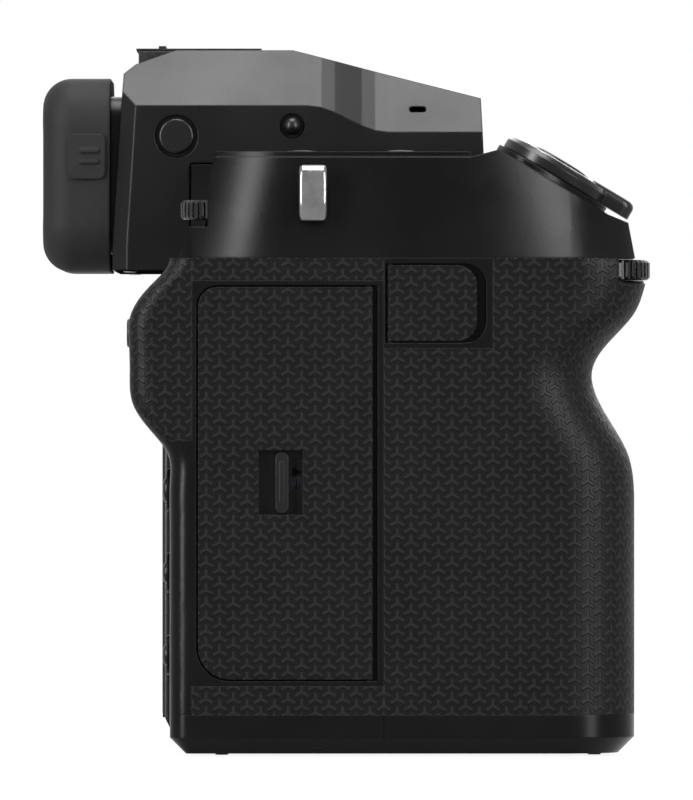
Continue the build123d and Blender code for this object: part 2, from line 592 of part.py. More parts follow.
def shoulder_face():
    # Side outline of the grip side of the top cover
    return polygon((SHOULDER_REAR_Y, SHOULDER_Z), (DECK_REAR_Y, DECK_Z), (RIDGE_REAR_Y, DECK_Z),
                   (RIDGE_Y, DECK_Z + RIDGE_RISE), (SLOPE_END_Y, slope_z(SLOPE_END_Y)),
                   (LIP_Y, slope_z(SLOPE_END_Y) - LIP_DROP), (NOSE_Y, SHOULDER_Z))


def strap_lug(wall_x, out_x, hollow):
    # A staple on the side wall, with its opening running front to back
    reach = abs(out_x - wall_x)
    mid = (wall_x + out_x) / 2
    staple = front_slab(round_rect(reach, LUG_TALL, LUG_ROUND, mid, LUG_Z), LUG_Y - LUG_W / 2,
                        LUG_Y + LUG_W / 2)
    if not hollow:
        return staple
    opening = round_rect(reach - 2 * LUG_BAR, LUG_TALL - 2 * LUG_BAR, reach / 2 - LUG_BAR - RUN, mid, LUG_Z)
    return staple - front_slab(opening, LUG_Y - LUG_W, LUG_Y + LUG_W)


def top_cover():
    tall = DECK_Z + 2 * RIDGE_RISE - SHOULDER_Z
    grip_part = extrude(grip_section(NOSE_SHARES[-1], 0, SHOULDER_Z, 0), tall, taper=SIDE_LEAN)
    body_part = extrude(Pos(0, 0, SHOULDER_Z) * body_outline(0), tall, taper=SIDE_LEAN)
    shoulder = (grip_part + body_part) & side_slab(shoulder_face(), GRIP_X - OVERRUN, -SHOULDER_INNER_X)
    rim_inset = (DECK_Z - SHOULDER_Z) * math.tan(math.radians(SIDE_LEAN))
    left_face = polygon((SHOULDER_REAR_Y, SHOULDER_Z), (SHOULDER_REAR_Y - 2 * WALL, LEFT_DECK_Z),
                        (FRONT_Y, LEFT_DECK_Z), (FRONT_Y, SHOULDER_Z))
    left = body_part & side_slab(left_face, HUMP_HALF_W, LEFT_X + OVERRUN)
    hump_end = polygon((-HUMP_FOOT_HALF_W, SHOULDER_Z), (HUMP_FOOT_HALF_W, SHOULDER_Z),
                       (HUMP_HALF_W, HUMP_Z), (-HUMP_HALF_W, HUMP_Z))
    hump_rear = FINDER_STEP_Y - GAP
    hump_side = polygon((hump_rear, SHOULDER_Z), (hump_rear, HUMP_Z), (HUMP_FRONT_Y, HUMP_Z),
                        (FRONT_Y, HUMP_BROW_Z), (FRONT_Y, SHOULDER_Z))
    hump = front_slab(hump_end, 2 * HUMP_FRONT_Y, REAR_Y) & side_slab(hump_side, -HUMP_FOOT_HALF_W,
                                                                      HUMP_FOOT_HALF_W)
    rim = block(DISPLAY_X0 - DISPLAY_LIP, DISPLAY_X1 + DISPLAY_LIP, RIDGE_REAR_Y, DECK_REAR_Y, DECK_Z,
                DECK_Z + DISPLAY_RISE)
    plate = on_slope(Pos(0, 0, RELEASE_PLATE_TALL / 2) * Cylinder(RELEASE_PLATE_R, RELEASE_PLATE_TALL))
    hub_top = RELEASE_PLATE_TALL + LEVER_TALL
    hub = on_slope(Pos(0, 0, hub_top / 2) * Cylinder(LEVER_INNER_R - RUN, hub_top))
    brow_face = polygon((FRONT_Y + WALL, HUMP_BROW_Z - WALL), (BROW_Y, BROW_LOW_Z), (BROW_Y, DECK_Z),
                        (FRONT_Y + WALL, DECK_Z))
    brow = side_slab(brow_face, GRIP_INNER_X - WALL, -SHOULDER_INNER_X)
    cover = shoulder + left + hump + rim + plate + hub + brow

    low = SHOULDER_Z - OVERRUN
    inner_face = offset(shoulder_face(), -WALL) + polygon(
        (SHOULDER_REAR_Y - 2 * WALL, low), (SHOULDER_REAR_Y - 2 * WALL, SHOULDER_Z + 2 * WALL),
        (NOSE_Y + 2 * WALL, SHOULDER_Z + 2 * WALL), (NOSE_Y + 2 * WALL, low))
    grip_room = side_slab(inner_face, GRIP_X + 2 * WALL, GRIP_INNER_X - 2 * WALL)
    grip_room &= block(GRIP_X, 0, NOSE_Y + 3 * WALL, REAR_Y, 0, 2 * DECK_Z)
    body_room = side_slab(inner_face, GRIP_INNER_X - 3 * WALL, -SHOULDER_INNER_X - WALL)
    body_room &= block(GRIP_X, 0, FRONT_Y + 2 * WALL, REAR_Y, 0, 2 * DECK_Z)
    left_room = block(HUMP_HALF_W, LEFT_X - 2 * WALL - rim_inset, FRONT_Y + 2 * WALL,
                      SHOULDER_REAR_Y - 4 * WALL,
                      low, LEFT_DECK_Z - WALL)
    hump_room = block(-SHOULDER_INNER_X - 2 * WALL, HUMP_FOOT_HALF_W, FRONT_Y + 2 * WALL, hump_rear - WALL,
                      low,
                      RAIL_LOW_Z - RAIL_FIT - WALL)
    cover = cover - grip_room - body_room - left_room
    room_end = polygon((-HUMP_FOOT_HALF_W + WALL, low), (HUMP_FOOT_HALF_W - WALL, low),
                       (HUMP_HALF_W - WALL, HUMP_Z), (-HUMP_HALF_W + WALL, HUMP_Z))
    cover = cover - (hump_room & front_slab(room_end, 2 * HUMP_FRONT_Y, REAR_Y))

    foot = block(-RAIL_FOOT_HALF_W - RAIL_FIT, RAIL_FOOT_HALF_W + RAIL_FIT, RAIL_FRONT_Y - RAIL_FIT,
                 2 * REAR_Y,
                 RAIL_LOW_Z - RAIL_FIT, RAIL_STEP_Z)
    neck = block(-RAIL_NECK_HALF_W - RAIL_FIT, RAIL_NECK_HALF_W + RAIL_FIT, RAIL_FRONT_Y - RAIL_FIT,
                 2 * REAR_Y,
                 RAIL_STEP_Z - WALL, 2 * HUMP_Z)
    cover = cover - foot - neck
    well = Pos(0, 0, RELEASE_PLATE_TALL + hub_top / 2) * Cylinder(BUTTON_R + GAP, hub_top)
    cover = cover - on_slope(well) - on_slope(Cylinder(BUTTON_STEM_R + RUN, 8 * WALL))
    dial_low, dial_top = REAR_DIAL_LOW_Z - GAP, REAR_DIAL_LOW_Z + REAR_DIAL_TALL + GAP
    cover = cover - rod_z(REAR_DIAL_R + GAP, REAR_DIAL_X, REAR_DIAL_Y, dial_low, dial_top)
    cut_top = slope_rear_z(REAR_DIAL_Y + REAR_DIAL_R / 2)
    notch = block(GRIP_X - OVERRUN, REAR_DIAL_X + REAR_DIAL_R + GAP, REAR_DIAL_Y + REAR_DIAL_R / 2, REAR_Y,
                  dial_low - WALL / 2, cut_top)
    cover = cover - notch
    cover = cover + rod_z(DIAL_SHAFT_R, REAR_DIAL_X, REAR_DIAL_Y, dial_low - WALL, DECK_Z - WALL / 2)
    for y in TOP_BUTTON_YS:
        cover = cover - rod_z(TOP_BUTTON_R + GAP / 2, TOP_BUTTON_X, y, DECK_Z - 2 * WALL, 2 * DECK_Z)
        half = TOP_BUTTON_R + WALL / 2 + GAP
        cover = cover - block(TOP_BUTTON_X - half, TOP_BUTTON_X + half, y - half, y + 2 * half,
                              DECK_Z - 4 * WALL, DECK_Z - 2 * WALL)
    cover = cover - display_slab(0)
    cover = cover + rod_z(2 * DIAL_SHAFT_R, MODE_DIAL_X, MODE_DIAL_Y, LEFT_DECK_Z - WALL / 2,
                          LEFT_DECK_Z + SELECT_LEVER_TALL + MODE_DIAL_TALL / 2)
    cover = cover - rod_y(MOUNT_R + RUN, 0, 2 * HUMP_FRONT_Y, FRONT_Y + SKIN, AXIS_Z)
    cover = cover - strap_lug(LUG_WALL_GRIP_X, LUG_OUT_GRIP_X, False)
    return cover - strap_lug(LUG_WALL_LEFT_X, LUG_OUT_LEFT_X, False)


def display_slab(shrink):
    return block(DISPLAY_X0 + shrink, DISPLAY_X1 - shrink, RIDGE_REAR_Y + DISPLAY_LIP + shrink,
                 DECK_REAR_Y - DISPLAY_LIP - shrink, DECK_Z - WALL / 3, DECK_Z + DISPLAY_RISE - shrink)


def battery_door_face(grow, z):
    x_mid, y_mid = (BATTERY_X0 + BATTERY_X1) / 2, (BATTERY_Y0 + BATTERY_Y1) / 2
    w = BATTERY_X1 - BATTERY_X0 + 2 * BATTERY_DOOR_GAP + 2 * grow
    h = BATTERY_Y1 - BATTERY_Y0 + 2 * BATTERY_DOOR_GAP + 2 * grow
    return Pos(x_mid, y_mid, z) * RectangleRounded(w, h, DOOR_TOP_ROUND + grow)


BATTERY_DOOR_REAR_Y = BATTERY_Y1 + BATTERY_DOOR_GAP
BATTERY_AXIS_Y = BATTERY_DOOR_REAR_Y - BATTERY_DOOR_THICK / 4
BATTERY_AXIS_Z = BATTERY_DOOR_THICK / 2
FOOT_R = 1.05
FEET = ((-70.0, 25.8), (-62.0, 21.9), (-57.0, -12.0), (-68.0, -34.6), (55.0, 25.8), (55.0, 0.0))
SOCKET_Y = 12.0
SOCKET_R = 4.7
SOCKET_THREAD_R = 3.175
SOCKET_THREAD_DEEP = 5.5
SOCKET_TALL = 6.6
SOCKET_FLANGE_R = 8.0


def base_cover():
    plan = grip_section(0, 0, 0, 0) + body_outline(0)
    cover = extrude(plan, BASE_Z)
    low = cover.edges().filter_by(lambda e: e.bounding_box().max.Z < RUN)
    cover = chamfer(low, BASE_CHAMFER)
    room = block(GRIP_INNER_X + WALL, LEFT_X - 2 * WALL - BASE_CHAMFER, FRONT_Y + 2 * WALL,
                 RECESS_FLOOR_Y - WALL, WALL, BASE_Z + OVERRUN)
    cover = cover - room
    cover = cover - block(RECESS_X0, RECESS_X1, RECESS_FLOOR_Y, 2 * REAR_Y, -OVERRUN, 2 * BASE_Z)
    x_mid, y_mid = (BATTERY_X0 + BATTERY_X1) / 2, (BATTERY_Y0 + BATTERY_Y1) / 2
    opening = Pos(x_mid, y_mid, 0) * RectangleRounded(BATTERY_X1 - BATTERY_X0 + 2 * GAP,
                                                      BATTERY_Y1 - BATTERY_Y0 + 2 * GAP, WALL + GAP)
    cover = cover - plan_slab(opening, -OVERRUN, BASE_Z + OVERRUN)
    cover = cover - extrude(battery_door_face(GAP, -OVERRUN), OVERRUN + BATTERY_DOOR_THICK + GAP)
    door_side = BATTERY_DOOR_GAP + GAP
    cover = cover - block(BATTERY_X0 - door_side, BATTERY_X1 + door_side,
                          BATTERY_DOOR_REAR_Y - DOOR_TOP_ROUND - GAP,
                          BATTERY_DOOR_REAR_Y + DOOR_HINGE_GAP, -OVERRUN, BATTERY_DOOR_THICK + GAP)
    hinge_ends = (BATTERY_X0 - BATTERY_DOOR_GAP - HINGE_PIN_LONG - GAP, BATTERY_X1 + BATTERY_DOOR_GAP
                  + HINGE_PIN_LONG + GAP)
    cover = cover - rod_x(HINGE_PIN_R + RUN, *hinge_ends, BATTERY_AXIS_Y, BATTERY_AXIS_Z)
    cover = cover - rod_z(SOCKET_R, 0, SOCKET_Y, -OVERRUN, BASE_Z)
    for x, y in FEET:
        cover = cover + rod_z(FOOT_R, x, y, -FOOT_RISE, WALL / 2)
    for x, y in CASE_SCREWS:
        cover = cover - rod_z(SCREW_R + RUN, x, y, -OVERRUN, WALL)
    return cover


def tripod_socket():
    socket = rod_z(SOCKET_R, 0, SOCKET_Y, 0, SOCKET_TALL) + rod_z(SOCKET_FLANGE_R, 0, SOCKET_Y, WALL,
                                                                  2 * WALL)
    return socket - rod_z(SOCKET_THREAD_R, 0, SOCKET_Y, -OVERRUN, SOCKET_THREAD_DEEP)


def mount_ring():
    back = FRONT_Y + SKIN
    ring = rod_y(MOUNT_R, 0, FLANGE_Y, back, AXIS_Z)
    ring = chamfer(ring.edges().filter_by(lambda e: e.geom_type == GeomType.CIRCLE and e.center().Y < FRONT_Y), RING_EDGE)
    ring = ring - rod_y(MOUNT_BORE_R + LUG_TOOTH, 0, FLANGE_Y - OVERRUN, back + OVERRUN, AXIS_Z)
    for i in range(MOUNT_TEETH):
        mid = math.radians(90 + 360 * i / MOUNT_TEETH)
        half = math.radians(MOUNT_TOOTH_ANGLE / 2)
        reach = 2 * MOUNT_R
        wedge = polygon((0, AXIS_Z), (reach * math.cos(mid - half), AXIS_Z + reach * math.sin(mid - half)),
                        (reach * math.cos(mid + half), AXIS_Z + reach * math.sin(mid + half)))
        tooth = rod_y(MOUNT_BORE_R + LUG_TOOTH, 0, FLANGE_Y, FLANGE_Y + MOUNT_TOOTH_TALL, AXIS_Z)
        tooth = tooth - rod_y(MOUNT_BORE_R, 0, FLANGE_Y - OVERRUN, back, AXIS_Z)
        ring = ring + (tooth & front_slab(wedge, FLANGE_Y - OVERRUN, back))
    for x, z in screw_places():
        ring = ring - rod_y(SCREW_R + RUN, x, FLANGE_Y - OVERRUN, back + OVERRUN, z)
    x, z = lens_pin_place()
    return ring - rod_y(LENS_PIN_R + RUN, x, FLANGE_Y - OVERRUN, back + OVERRUN, z)


def ring_place(angle):
    r = (MOUNT_R + MOUNT_BORE_R + LUG_TOOTH) / 2
    return r * math.cos(math.radians(angle)), AXIS_Z + r * math.sin(math.radians(angle))


def screw_places():
    return [ring_place(360 * i / SCREW_COUNT) for i in range(SCREW_COUNT)]


def lens_pin_place():
    return ring_place(LENS_PIN_ANGLE)


def screws():
    # Cross-slot screws: those that hold the mount ring, then those of the base
    found = []
    for x, z in screw_places():
        head = rod_y(SCREW_R, x, FLANGE_Y + GAP / 3, FRONT_Y + SKIN, z)
        found.append(head - block(x - SCREW_R, x + SCREW_R, FLANGE_Y, FLANGE_Y + 2 * GAP, z - GAP / 2,
                                  z + GAP / 2))
    for x, y in CASE_SCREWS:
        head = rod_z(SCREW_R, x, y, GAP / 3, WALL)
        found.append(head - block(x - SCREW_R, x + SCREW_R, y - GAP / 2, y + GAP / 2, 0, 2 * GAP))
    return Compound(found)


def lens_contacts():
    # A curved block at the foot of the throat, with a row of gold pins
    r_out, r_in = MOUNT_BORE_R - GAP / 3, MOUNT_BORE_R - CONTACT_TALL
    y0, y1 = FRONT_Y + SKIN + GAP, FRONT_Y + SKIN + GAP + CONTACT_DEEP
    arc = rod_y(r_out, 0, y0, y1, AXIS_Z) - rod_y(r_in, 0, y0 - OVERRUN, y1 + OVERRUN, AXIS_Z)
    half_w = r_out * math.sin(math.radians(CONTACT_ANGLE / 2))
    body = arc & block(-half_w, half_w, y0, y1, 0, AXIS_Z - r_in / 2)
    pins = []
    for i in range(CONTACT_PINS):
        angle = math.radians(270 + CONTACT_ANGLE * 0.8 * (i / (CONTACT_PINS - 1) - 0.5))
        r = (r_out + r_in) / 2
        pins.append(rod_y(CONTACT_PIN_R, r * math.cos(angle), y0 - CONTACT_PIN_R, y0,
                          AXIS_Z + r * math.sin(angle)))
    return Compound([body.solid()] + pins)


def chassis():
    # The inner plate and, on four posts behind it, the fixed frame of the stabiliser
    plate = block(GRIP_INNER_X + 2 * WALL, LEFT_X - 5 * WALL, CHASSIS_Y, CHASSIS_Y + WALL, WALL,
                  SHOULDER_Z - GAP)
    plate = plate - block(-SOCKET_FLANGE_R - GAP, SOCKET_FLANGE_R + GAP, 0, REAR_Y, 0, SOCKET_TALL + GAP)
    plate = plate - block(-SENSOR_W / 2 - 2 * WALL, SENSOR_W / 2 + 2 * WALL, 0, REAR_Y,
                          AXIS_Z - SENSOR_H / 2 - 2 * WALL, AXIS_Z + SENSOR_H / 2 + 2 * WALL)
    for x in (-POST_X, POST_X):
        for z in (AXIS_Z - POST_Z, AXIS_Z + POST_Z):
            plate = plate + rod_y(POST_R, x, CHASSIS_Y, STABILISER_Y, z)
    half_w, half_h = POST_X + POST_R, POST_Z + POST_R
    back = block(-half_w, half_w, STABILISER_Y, RECESS_FLOOR_Y - WALL, AXIS_Z - half_h, AXIS_Z + half_h)
    back = back - block(-SENSOR_W / 2, SENSOR_W / 2, 0, REAR_Y, AXIS_Z - SENSOR_H / 2, AXIS_Z + SENSOR_H / 2)
    return plate + back


def shutter_frame():
    y0, y1 = CHASSIS_Y + WALL, CHASSIS_Y + WALL + SHUTTER_DEEP
    x1 = LEAF_W / 2 + SHUTTER_SIDE
    z0, z1 = AXIS_Z - SHUTTER_HALF_TALL, AXIS_Z + SHUTTER_HALF_TALL
    frame = block(-x1, x1, y0, y1, z0, z1)
    room = block(-LEAF_W / 2 - GAP, LEAF_W / 2 + GAP, y0 + SHUTTER_PLATE, y1 - SHUTTER_PLATE, z0 + WALL,
                 z1 - WALL)
    gate = block(-SENSOR_W / 2, SENSOR_W / 2, 0, REAR_Y, AXIS_Z - SENSOR_H / 2, AXIS_Z + SENSOR_H / 2)
    return frame - room - gate


def shutter_leaf(layer, upper):
    # One curtain leaf, parked clear of the gate, in its own layer of the frame
    y0 = CHASSIS_Y + WALL + SHUTTER_PLATE + LEAF_PITCH * (layer + 0.5)
    if upper:
        z0 = AXIS_Z + SENSOR_H / 2 + GAP
        return block(-LEAF_W / 2, LEAF_W / 2, y0, y0 + LEAF_THICK, z0, z0 + LEAF_TALL)
    z1 = AXIS_Z - SENSOR_H / 2 - GAP
    return block(-LEAF_W / 2, LEAF_W / 2, y0, y0 + LEAF_THICK, z1 - LEAF_TALL, z1)


def sensor_carriage():
    # The plate that shifts sideways on the fixed frame
    y1 = STABILISER_Y - FACE_GAP
    w, h = SENSOR_W / 2 + 2.5 * WALL, SENSOR_H / 2 + 3.5 * WALL
    plate = block(-w, w, y1 - CARRIAGE_THICK, y1, AXIS_Z - h, AXIS_Z + h)
    return plate - block(-SENSOR_W / 2 + WALL, SENSOR_W / 2 - WALL, 0, REAR_Y, AXIS_Z - SENSOR_H / 2 + WALL,
                         AXIS_Z + SENSOR_H / 2 - WALL)


def sensor_platform():
    # The plate that shifts up and down on the carriage, with the sensor and its cover glass
    y1 = STABILISER_Y - 2 * FACE_GAP - CARRIAGE_THICK
    y0 = FLANGE_Y + FLANGE_DISTANCE
    w, h = SENSOR_W / 2 + 1.5 * WALL, SENSOR_H / 2 + 1.5 * WALL
    plate = block(-w, w, y0, y1, AXIS_Z - h, AXIS_Z + h)
    glass = block(-SENSOR_W / 2, SENSOR_W / 2, y0 - SENSOR_GLASS, y0, AXIS_Z - SENSOR_H / 2,
                  AXIS_Z + SENSOR_H / 2)
    return Compound([plate, glass])


def main_board():
    x0, x1 = MOUNT_BORE_R + 2 * WALL, LEFT_X - 5 * WALL
    y1 = CHASSIS_Y
    board = block(x0, x1, y1 - BOARD_THICK, y1, SLOT_LOW_Z, SLOT_TOP_Z)
    chips = []
    mid = (x0 + x1) / 2
    for z in (AXIS_Z - 3 * CHIP, AXIS_Z, AXIS_Z + 2.5 * CHIP):
        chips.append(block(mid - CHIP / 2, mid + CHIP / 2, y1 - BOARD_THICK - CHIP_TALL, y1 - BOARD_THICK,
                           z - CHIP / 2, z + CHIP / 2))
    return Compound([board] + chips)


def card_slots():
    # The reader box behind the card door, with both cards in it
    y0, y1 = BATTERY_Y1 + WALL, RECESS_FLOOR_Y - WALL
    x0 = GRIP_X + SKIN + WALL + GAP
    box = block(x0, GRIP_INNER_X + 5 * WALL, y0, y1, CARD_Z - CARD_TALL / 2 - WALL,
                CARD_Z + CARD_TALL / 2 + WALL)
    box = box - block(GRIP_INNER_X - 2 * WALL, 0, CHASSIS_Y - RUN, CHASSIS_Y + WALL + RUN, 0, DECK_Z)
    cards = []
    for i in range(2):
        y = y0 + (y1 - y0) * (i + 0.6) / 2
        slot = block(x0 - OVERRUN, x0 + CARD_LONG, y - CARD_THICK / 2 - RUN, y + CARD_THICK / 2 + RUN,
                     CARD_Z - CARD_TALL / 2 - RUN, CARD_Z + CARD_TALL / 2 + RUN)
        box = box - slot
        cards.append(block(x0 - GAP, x0 + CARD_LONG - GAP, y - CARD_THICK / 2, y + CARD_THICK / 2,
                           CARD_Z - CARD_TALL / 2, CARD_Z + CARD_TALL / 2))
    return Compound(box.solids() + cards)


def battery():
    x_mid, y_mid = (BATTERY_X0 + BATTERY_X1) / 2, (BATTERY_Y0 + BATTERY_Y1) / 2
    face = Pos(x_mid, y_mid) * RectangleRounded(BATTERY_X1 - BATTERY_X0, BATTERY_Y1 - BATTERY_Y0, WALL)
    return plan_slab(face, BATTERY_DOOR_THICK + GAP, BATTERY_DOOR_THICK + GAP + BATTERY_TALL)


def side_jacks():
    # The terminals behind the covers of the connector side, and the remote jack behind its flap
    x0 = LEFT_X - 3 * WALL
    board = block(x0, x0 + BOARD_THICK, COVER_FRONT_Y + WALL, RECESS_FLOOR_Y - WALL, SLOT_LOW_Z,
                  COVER_TOP_Z - WALL)
    x1 = LEFT_X - COVER_THICK - 2 * GAP
    y_mid = (COVER_FRONT_Y + COVER_REAR_Y) / 2
    solids = [board]
    for z, w, h in JACKS:
        shell = block(x0 + BOARD_THICK, x1, y_mid - w / 2, y_mid + w / 2, z - h / 2, z + h / 2)
        hole = block(x0 + 2 * BOARD_THICK, x1 + OVERRUN, y_mid - w / 2 + JACK_WALL, y_mid + w / 2 - JACK_WALL,
                     z - h / 2 + JACK_WALL, z + h / 2 - JACK_WALL)
        solids.append(shell - hole)
    remote = rod_x(REMOTE_JACK_R, GRIP_X + FLAP_THICK + GAP, GRIP_X + 5 * WALL, REMOTE_JACK_Y, REMOTE_JACK_Z)
    remote = remote - rod_x(REMOTE_JACK_R / 2, GRIP_X, GRIP_X + 4 * WALL, REMOTE_JACK_Y, REMOTE_JACK_Z)
    return Compound(solids + [remote])


def strap_lugs():
    return Compound([strap_lug(LUG_WALL_GRIP_X, LUG_OUT_GRIP_X, True),
                     strap_lug(LUG_WALL_LEFT_X, LUG_OUT_LEFT_X, True)])


def shutter_button():
    cap_low = RELEASE_PLATE_TALL + BUTTON_TRAVEL + FACE_GAP
    cap = Pos(0, 0, (cap_low + BUTTON_TALL) / 2) * Cylinder(BUTTON_R, BUTTON_TALL - cap_low)
    cap = fillet(cap.edges().filter_by(GeomType.CIRCLE).sort_by(Axis.Z)[-1:], WALL / 2)
    dish = Pos(0, 0, BUTTON_TALL + BUTTON_DISH_R - BUTTON_DISH) * Sphere(BUTTON_DISH_R)
    stem = Pos(0, 0, cap_low / 2 - WALL) * Cylinder(BUTTON_STEM_R, cap_low + 2 * WALL)
    return on_slope(cap - dish + stem)


def power_lever():
    low = RELEASE_PLATE_TALL + FACE_GAP
    ring = Pos(0, 0, low + LEVER_TALL / 2) * Cylinder(LEVER_R, LEVER_TALL)
    ring = chamfer(ring.edges().filter_by(GeomType.CIRCLE).sort_by(Axis.Z)[-1:], LEVER_TALL / 3)
    tab_face = Pos(0, -LEVER_R) * RectangleRounded(TAB_W, 2 * POWER_TAB_REACH, TAB_W / 3)
    tab = Pos(0, 0, low) * extrude(tab_face, LEVER_TALL + POWER_TAB_RISE)
    tab = fillet(tab.edges().group_by(Axis.Z)[-1], 2 * POWER_TAB_RISE)
    bore = Pos(0, 0, LEVER_TALL) * Cylinder(LEVER_INNER_R, 4 * LEVER_TALL)
    return on_slope(ring + tab - bore)


def front_dial():
    mid_z = FRONT_DIAL_LOW_Z + FRONT_DIAL_TALL / 2
    wheel = Pos(FRONT_DIAL_X, FRONT_DIAL_Y, mid_z) * ribbed_wheel(FRONT_DIAL_R, FRONT_DIAL_TALL, 40, RIB_DEEP)
    return wheel + rod_z(DIAL_SHAFT_R, FRONT_DIAL_X, FRONT_DIAL_Y, FRONT_DIAL_LOW_Z - 1.5 * WALL,
                         FRONT_DIAL_LOW_Z)


def rear_dial():
    mid_z = REAR_DIAL_LOW_Z + REAR_DIAL_TALL / 2
    wheel = Pos(REAR_DIAL_X, REAR_DIAL_Y, mid_z) * ribbed_wheel(REAR_DIAL_R, REAR_DIAL_TALL, 44, RIB_DEEP)
    return wheel - rod_z(DIAL_SHAFT_R + RUN, REAR_DIAL_X, REAR_DIAL_Y, SHOULDER_Z, DECK_Z)


MODE_DIAL_LOW_Z = LEFT_DECK_Z + SELECT_LEVER_TALL + 2 * FACE_GAP


def mode_dial():
    wheel = Pos(MODE_DIAL_X, MODE_DIAL_Y, MODE_DIAL_LOW_Z + MODE_DIAL_TALL / 2) * ribbed_wheel(
        MODE_DIAL_R, MODE_DIAL_TALL, 48, RIB_DEEP)
    return wheel - rod_z(2 * DIAL_SHAFT_R + RUN, MODE_DIAL_X, MODE_DIAL_Y, LEFT_DECK_Z,
                         LEFT_DECK_Z + SELECT_LEVER_TALL + MODE_DIAL_TALL / 2 + GAP)


def select_lever():
    # The stills and movie lever round the foot of the mode dial
    z0 = LEFT_DECK_Z + FACE_GAP
    ring = rod_z(SELECT_LEVER_R, MODE_DIAL_X, MODE_DIAL_Y, z0, z0 + SELECT_LEVER_TALL)
    tab = plan_slab(round_rect(TAB_W, 2 * TAB_REACH, TAB_W / 3, MODE_DIAL_X, MODE_DIAL_Y + SELECT_LEVER_R),
                    z0, z0 + SELECT_LEVER_TALL)
    return ring + tab - rod_z(2 * DIAL_SHAFT_R + RUN, MODE_DIAL_X, MODE_DIAL_Y, LEFT_DECK_Z, DECK_Z)


def top_button(y):
    low = DECK_Z - 2 * WALL
    cap = cap_z(TOP_BUTTON_R, TOP_BUTTON_X, y, low, TOP_BUTTON_TOP_Z)
    return cap + rod_z(TOP_BUTTON_R + WALL / 2, TOP_BUTTON_X, y, low - WALL / 2, low)


def card_door():
    door = side_slab(door_face(0), GRIP_X, GRIP_X + DOOR_THICK)
    pins = rod_z(HINGE_PIN_R, DOOR_AXIS_X, DOOR_AXIS_Y, DOOR_LOW_Z - HINGE_PIN_LONG,
                 DOOR_TOP_Z + HINGE_PIN_LONG)
    recess = block(GRIP_X - OVERRUN, GRIP_X + LATCH_DEEP, LATCH_Y - LATCH_ROOM_FRONT,
                   LATCH_Y + LATCH_ROOM_REAR,
                   LATCH_Z - LATCH_TALL / 2 - GAP, LATCH_Z + LATCH_TALL / 2 + GAP)
    slot = block(GRIP_X, GRIP_X + 2 * DOOR_THICK, LATCH_Y - LATCH_TRAVEL - LATCH_STEM_R - GAP,
                 LATCH_Y + LATCH_STEM_R + GAP, LATCH_Z - LATCH_STEM_R - GAP, LATCH_Z + LATCH_STEM_R + GAP)
    return door + pins - recess - slot


def card_latch():
    # A pill that slides towards the front, with its hook plate inside the door
    x0 = GRIP_X + GAP / 2
    pill = side_slab(round_rect(LATCH_W, LATCH_TALL, LATCH_W / 2 - RUN, LATCH_Y, LATCH_Z), x0,
                     GRIP_X + LATCH_DEEP
                     - FACE_GAP)
    stem = rod_x(LATCH_STEM_R, x0, GRIP_X + DOOR_THICK + FACE_GAP, LATCH_Y, LATCH_Z)
    plate = block(GRIP_X + DOOR_THICK + FACE_GAP, GRIP_X + DOOR_THICK + FACE_GAP + LATCH_W / 3,
                  LATCH_Y - LATCH_W, LATCH_Y + LATCH_W, LATCH_Z - LATCH_TALL / 3, LATCH_Z + LATCH_TALL / 3)
    return pill + stem + plate


def terminal_flap():
    flap = side_slab(flap_face(0, 0), GRIP_X, GRIP_X + FLAP_THICK)
    swinging = flap.edges().filter_by(lambda e: abs(e.center().X - GRIP_X) < RUN and abs(e.center().Y - FLAP_REAR_Y) < RUN)
    flap = chamfer(swinging, FLAP_THICK / 4)
    return flap + rod_z(HINGE_PIN_R, FLAP_AXIS_X, FLAP_AXIS_Y, FLAP_LOW_Z - HINGE_PIN_LONG,
                        FLAP_TOP_Z + HINGE_PIN_LONG)


def side_cover(z0, z1):
    cover = cover_block(z0, z1, 0)
    cover = cover - block(0, 2 * LEFT_X, 0, COVER_FRONT_Y + COVER_THICK / 4, 0, DECK_Z)
    return cover + rod_z(HINGE_PIN_R, COVER_HINGE_X, COVER_HINGE_Y, z0 - COVER_PIN_LONG, z1 + COVER_PIN_LONG)


def battery_door():
    door = extrude(battery_door_face(0, 0), BATTERY_DOOR_THICK)
    door = door - battery_latch_room(GAP)
    return door + rod_x(HINGE_PIN_R, BATTERY_X0 - BATTERY_DOOR_GAP - HINGE_PIN_LONG,
                        BATTERY_X1 + BATTERY_DOOR_GAP + HINGE_PIN_LONG, BATTERY_AXIS_Y, BATTERY_AXIS_Z)


def battery_latch_room(grow):
    x = (BATTERY_X0 + BATTERY_X1) / 2
    y0 = BATTERY_Y0 + WALL
    travel = LATCH_TRAVEL if grow else 0
    return block(x - BOLT_W / 2 - grow, x + BOLT_W / 2 + grow, y0 - grow, y0 + BOLT_W / 2 + grow + travel,
                 -grow if grow else 0, BATTERY_DOOR_THICK / 2 + (FACE_GAP if grow else 0))


def lens_release():
    cap = cap_y(LENS_BUTTON_R, LENS_BUTTON_X, FRONT_Y + SKIN + 2 * WALL, FLANGE_Y, LENS_BUTTON_Z)
    flange = rod_y(LENS_BUTTON_R + WALL / 2, LENS_BUTTON_X, FRONT_Y + SKIN + WALL + FACE_GAP,
                   FRONT_Y + SKIN + 2 * WALL, LENS_BUTTON_Z)
    return cap + flange


def lens_lock_pin():
    x, z = lens_pin_place()
    return rod_y(LENS_PIN_R, x, FLANGE_Y - LENS_PIN_RISE, FRONT_Y + SKIN + WALL, z)


